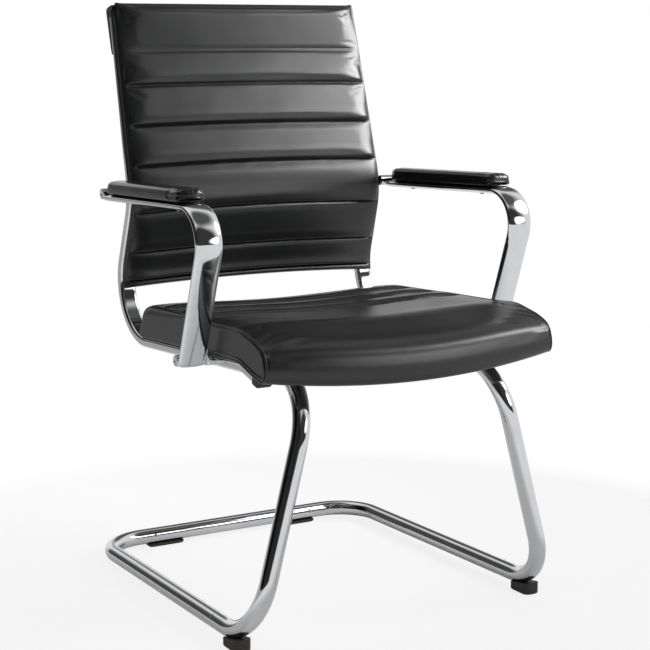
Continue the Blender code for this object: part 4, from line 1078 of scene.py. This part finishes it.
def arm_pieces(chrome):
    """Each arm's tube, end plugs, stubs and foot web. The tube is a flattened oval with bowed faces."""
    section = power_oval(ARM_W, ARM_T, 2.2, 72)
    stations = np.linspace(0.0, ARM.length, 220)
    for word, side in SIDES:
        rings = side_rings(ARM, arm_middle_x, side, section, stations)
        make("arm_loop_" + word, grid_part(rings), chrome, ["arm_tube_" + word])
        for place, mouth, out in (("rear", 0.0, -1.0), ("foot", ARM.length, 1.0)):
            sections, places = rounded_end(section, mouth + out * GAP, ARM_PLUG_T - GAP, out, 0.0015)
            rings = side_rings(ARM, arm_middle_x, side, sections, places)
            node = "arm_" + place + "_plug_" + word
            make("arm_" + place + "_end_" + word, grid_part(rings), chrome, [node])
            node = "arm_" + place + "_stub_" + word
            low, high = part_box(node)
            centre = (0.0, (low.y + high.y) / 2, (low.z + high.z) / 2)
            near, far = sorted((abs(low.x), abs(high.x)))
            levels = stub_levels(near, far)
            if place == "foot":
                neck = [(near, STUB_NECK_R), (STUB_NECK_X, STUB_NECK_R), (STUB_NECK_X, STUB_R)]
                levels = neck + levels[1:]
            part = grid_part(turned(levels, centre, (side, 0.0, 0.0), 56))
            make("arm_" + place + "_pivot_" + word, part, chrome, [node], sharp=40.0)
        web_piece(word, side, chrome)


def web_piece(word, side, chrome):
    """The cast web at the arm's foot: its height falls in a hollow curve from the leg to the rail."""
    low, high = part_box("arm_foot_gusset_" + word)
    near, far = sorted((abs(low.x), abs(high.x)))
    t = np.linspace(0.0, 1.0, 24)
    height = WEB_LOW + (WEB_HIGH - WEB_LOW) * t ** 4
    corner = power_oval(2.0, 2.0, 5.0, 32)
    lean = 0.5 + 0.5 * corner[:, 0]
    n = ARM_T / 2 + GAP + (0.5 + 0.5 * corner[:, 1]) * WEB_T * (0.5 + 0.5 * lean)
    rings = []
    for share, tall in zip(t, height):
        y, z = ARM.at(ARM.length - tall / 2 + corner[:, 0] * tall / 2, n)
        rings.append(np.stack((np.full_like(y, side * (near + (far - near) * share)), y, z), axis=1))
    part = grid_part(np.stack(rings))
    make("arm_foot_web_" + word, part, chrome, ["arm_foot_gusset_" + word], sharp=50.0)


def pad_section(count):
    """A pad's section in shares of its half width and height: domed on top, with a lip over its plate."""
    right = ((0.90, -0.02), (0.905, -0.10), (0.975, -0.11), (1.0, 0.10))
    right += ((0.985, 0.42), (0.90, 0.74), (0.66, 0.93))
    left = [(-a, up) for a, up in right[::-1]]
    return round_loop(np.array([*right, (0.0, 1.0), *left]), count, 0.035)


def pad_grid(side, width, low, tall, start, end, section, gather):
    """A long pad: round behind and squarer in front, where the cover is gathered into small folds."""
    share = 0.5 - 0.5 * np.cos(np.linspace(0.0, math.pi, 180))
    s = start + (end - start) * share
    rear = np.clip((s - start) / 0.026, 0.0, 1.0)
    front = np.clip((end - s) / 0.010, 0.0, 1.0)
    wide = np.sqrt(1 - (1 - rear) ** 2.2) * (1 - (1 - front) ** 3) ** (1 / 3)
    high = np.sqrt(1 - (1 - np.clip(rear * 1.25, 0, 1)) ** 2.4) * np.sqrt(1 - (1 - front) ** 2.4)
    wide, high = np.maximum(wide, 0.04), np.maximum(high, 0.10)
    a, up = section[None, :, 0], section[None, :, 1]
    angle = np.arctan2(up - 0.4, a)
    back_off = end - s[:, None]
    pulled = gather * smooth_step(0.048 - back_off, 0.0, 0.012) * smooth_step(up, -0.05, 0.35)
    pleats = np.sin(angle * 9.0 + 0.8 * np.sin(back_off * 150.0))
    draw = 1.0 - pulled * (0.040 - 0.024 * pleats)
    n = low + tall * (0.42 + (up - 0.42) * high[:, None] * draw)
    y, z = ARM.at(np.broadcast_to(s[:, None], n.shape), n)
    x = side * (arm_middle_x(s)[:, None] - a * wide[:, None] * draw * width / 2)
    return np.stack((x, y, z), axis=-1)


def pad_pieces(leather, plastic):
    """The arm pads and their plates."""
    slant = math.cos(math.radians(ARM_RISE))
    start = (ARM_REAR_Y - PAD_REAR_Y) / slant
    end = (ARM_REAR_Y - PAD_FRONT_Y) / slant
    for word, side in SIDES:
        grid = pad_grid(side, PAD_W, PAD_LOW, PAD_H, start, end, pad_section(96), 1.0)
        node = "arm_pad_" + word
        piece = make("arm_cushion_" + word, grid_part(grid), leather, [node], sharp=80.0)
        plate = power_oval(2.0, 1.0, 6.0, 48) + np.array((0.0, 0.5))
        low = ARM_T / 2 + GAP
        grid = pad_grid(side, PAD_W - 0.006, low, 0.0025, start + 0.003, end - 0.002, plate, 0.0)
        node = "arm_pad_plate_" + word
        make("arm_cushion_plate_" + word, grid_part(grid), plastic, [node], sharp=50.0)


def dust_cover_piece(cloth):
    """The cloth under the seat: a thin sheet stapled at its edges that sags 3 mm between the bars."""
    low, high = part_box("seat_dust_cover")
    half = (high.x - low.x) / 2
    depths = np.linspace(high.y, low.y, 60)
    shares = np.linspace(-1.0, 1.0, 80)
    s = np.array([RAIL.at_depth(y) for y in depths])[:, None]
    inside = (1 - shares[None, :] ** 4) * (1 - np.linspace(-1.0, 1.0, 60)[:, None] ** 4)
    n = -0.0005 - 0.003 * inside + 0.0004 * np.sin(shares * 40.0)[None, :] * (1 - inside)
    y, z = RAIL.at(np.broadcast_to(s, n.shape), n)
    part = grid_part(np.stack((np.broadcast_to(shares * half, n.shape), y, z), axis=-1), False, ())
    piece = make("seat_underside_cloth", part, cloth, ["seat_dust_cover"])


def dress_kept_nodes(nodes, dressed):
    """Gives each CAD node that stays the material of its kind."""
    for name, node in nodes.items():
        for word, material in dressed.items():
            if name.startswith(word):
                node.data.materials.clear()
                node.data.materials.append(material)


def soft_light(name, place, target, size, radiance, spread):
    """A softbox behind a honeycomb grid, dimmer towards its edges, with a radiance along its axis.

    Its power is pi times area times radiance, times 1 - h / tan(h) for the grid's half angle h.
    """
    lamp = bpy.data.lights.new(name, "AREA")
    lamp.shape = "RECTANGLE"
    lamp.size, lamp.size_y = size
    half = math.radians(spread / 2)
    lamp.energy = math.pi * size[0] * size[1] * radiance * (1 - half / math.tan(half))
    lamp.spread = 2 * half
    lamp.use_nodes = True
    tree = lamp.node_tree
    spot = add(tree, "ShaderNodeNewGeometry").outputs["Parametric"]
    middle = {1: (0.5, 0.5, 0.0)}
    off = add(tree, "ShaderNodeVectorMath", middle, {0: spot}, operation="SUBTRACT").outputs["Vector"]
    off = add(tree, "ShaderNodeVectorMath", links={0: off}, operation="LENGTH").outputs["Value"]
    ends = {"From Min": 0.5, "From Max": 0.2}
    fade = add(tree, "ShaderNodeMapRange", ends, {"Value": off}, interpolation_type="SMOOTHSTEP")
    tree.links.new(fade.outputs["Result"], tree.nodes["Emission"].inputs["Strength"])
    light = new_object(name, lamp)
    light.location = place
    light.rotation_euler = (Vector(place) - Vector(target)).to_track_quat("Z", "Y").to_euler()


def studio_world():
    """White backdrop for the eye, dimmed in reflections round the fixed direction of each dark screen."""
    world = bpy.data.worlds.new("white_studio")
    bpy.context.scene.world = world
    world.use_nodes = True
    tree = world.node_tree
    tree.nodes.clear()
    way = add(tree, "ShaderNodeTexCoord").outputs["Generated"]
    room = None
    for direction, inner, outer, level in SCREENS:
        centre = Vector(direction).normalized()
        facing = add(tree, "ShaderNodeVectorMath", {1: centre}, {0: way}, operation="DOT_PRODUCT")
        values = {"From Min": math.cos(math.radians(outer)), "From Max": math.cos(math.radians(inner))}
        values.update({"To Min": 1.0, "To Max": level})
        links = {"Value": facing.outputs["Value"]}
        screen = add(tree, "ShaderNodeMapRange", values, links, interpolation_type="SMOOTHSTEP")
        links = {0: room, 1: screen.outputs["Result"]}
        both = room and add(tree, "ShaderNodeMath", links=links, operation="MULTIPLY")
        room = both.outputs["Value"] if both else links[1]
    rays = add(tree, "ShaderNodeLightPath").outputs
    glossy = add(tree, "ShaderNodeMix", {2: FILL}, {0: rays["Is Glossy Ray"], 3: room}).outputs[0]
    links = {0: rays["Is Camera Ray"], 1: rays["Is Transmission Ray"]}
    seen = add(tree, "ShaderNodeMath", links=links, operation="MAXIMUM")
    level = add(tree, "ShaderNodeMix", {3: 1.0}, {0: seen.outputs["Value"], 2: glossy}).outputs[0]
    light = add(tree, "ShaderNodeBackground", {"Color": (1.0, 1.0, 1.0, 1.0)}, {"Strength": level})
    add(tree, "ShaderNodeOutputWorld", links={"Surface": light.outputs["Background"]})


def studio():
    """Floor, lights and the photograph's camera."""
    corners = [(x * FLOOR_HALF, y * FLOOR_HALF, 0.0) for x, y in ((-1, -1), (1, -1), (1, 1), (-1, 1))]
    mesh = bpy.data.meshes.new("studio_floor")
    mesh.from_pydata(corners, [], [(0, 1, 2, 3)])
    floor = new_object("studio_floor", mesh)
    mesh.materials.append(pale_floor())
    studio_world()
    soft_light("softbox_back", (1.40, -0.65, 1.58), (0.14, 0.22, 0.86), (1.4, 1.2), 32.0, 58.0)
    soft_light("softbox_seat", (0.80, -1.36, 0.78), (0.08, -0.3, 0.44), (1.2, 0.6), 8.0, 44.0)
    camera_data = bpy.data.cameras.new("camera")
    camera_data.sensor_width = SENSOR
    camera_data.lens = CAMERA_LENS
    camera = new_object("camera", camera_data)
    camera.location = CAMERA_PLACE
    aim = Vector(CAMERA_TARGET) - Vector(CAMERA_PLACE)
    camera.rotation_euler = aim.to_track_quat("-Z", "Y").to_euler()
    bpy.context.scene.camera = camera
    bpy.context.scene.view_settings.view_transform = "Standard"


def main():
    """Builds every piece on the frame, then the studio round it."""
    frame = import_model()
    chrome = polished_chrome()
    leather = coated_leather("black_cowhide", "#0b0c0d", "#131415", 0.31, 0.5)
    pad_leather = coated_leather("black_pad_cowhide", "#0c0d0e", "#131415", 0.22, 0.3)
    welt = coated_leather("black_welt_cowhide", "#161718", "#202122", 0.30, 0.3)
    plastic = moulded_plastic()
    steel = zinc_plated_steel()
    rubber = foot_rubber()
    plywood = beech_plywood()
    dressed = {"seat_crossbar": steel, "back_crossbar": steel, "base_bolt": steel, "base_end_plug": plastic}
    dressed.update({"seat_board": plywood, "back_board": plywood})
    dress_kept_nodes(frame["nodes"], dressed)
    rail_pieces(chrome, plastic)
    base_piece(chrome)
    arm_pieces(chrome)
    for word, side in SIDES:
        glide_piece(word, side, rubber)
        rear_pad_piece(word, rubber)
    head_pieces(steel)
    seat_pieces(leather, welt)
    back_pieces(leather, welt)
    pocket_piece(leather)
    rear_panel_piece(leather)
    pad_pieces(pad_leather, plastic)
    dust_cover_piece(spunbond_cloth())
    studio()


main()
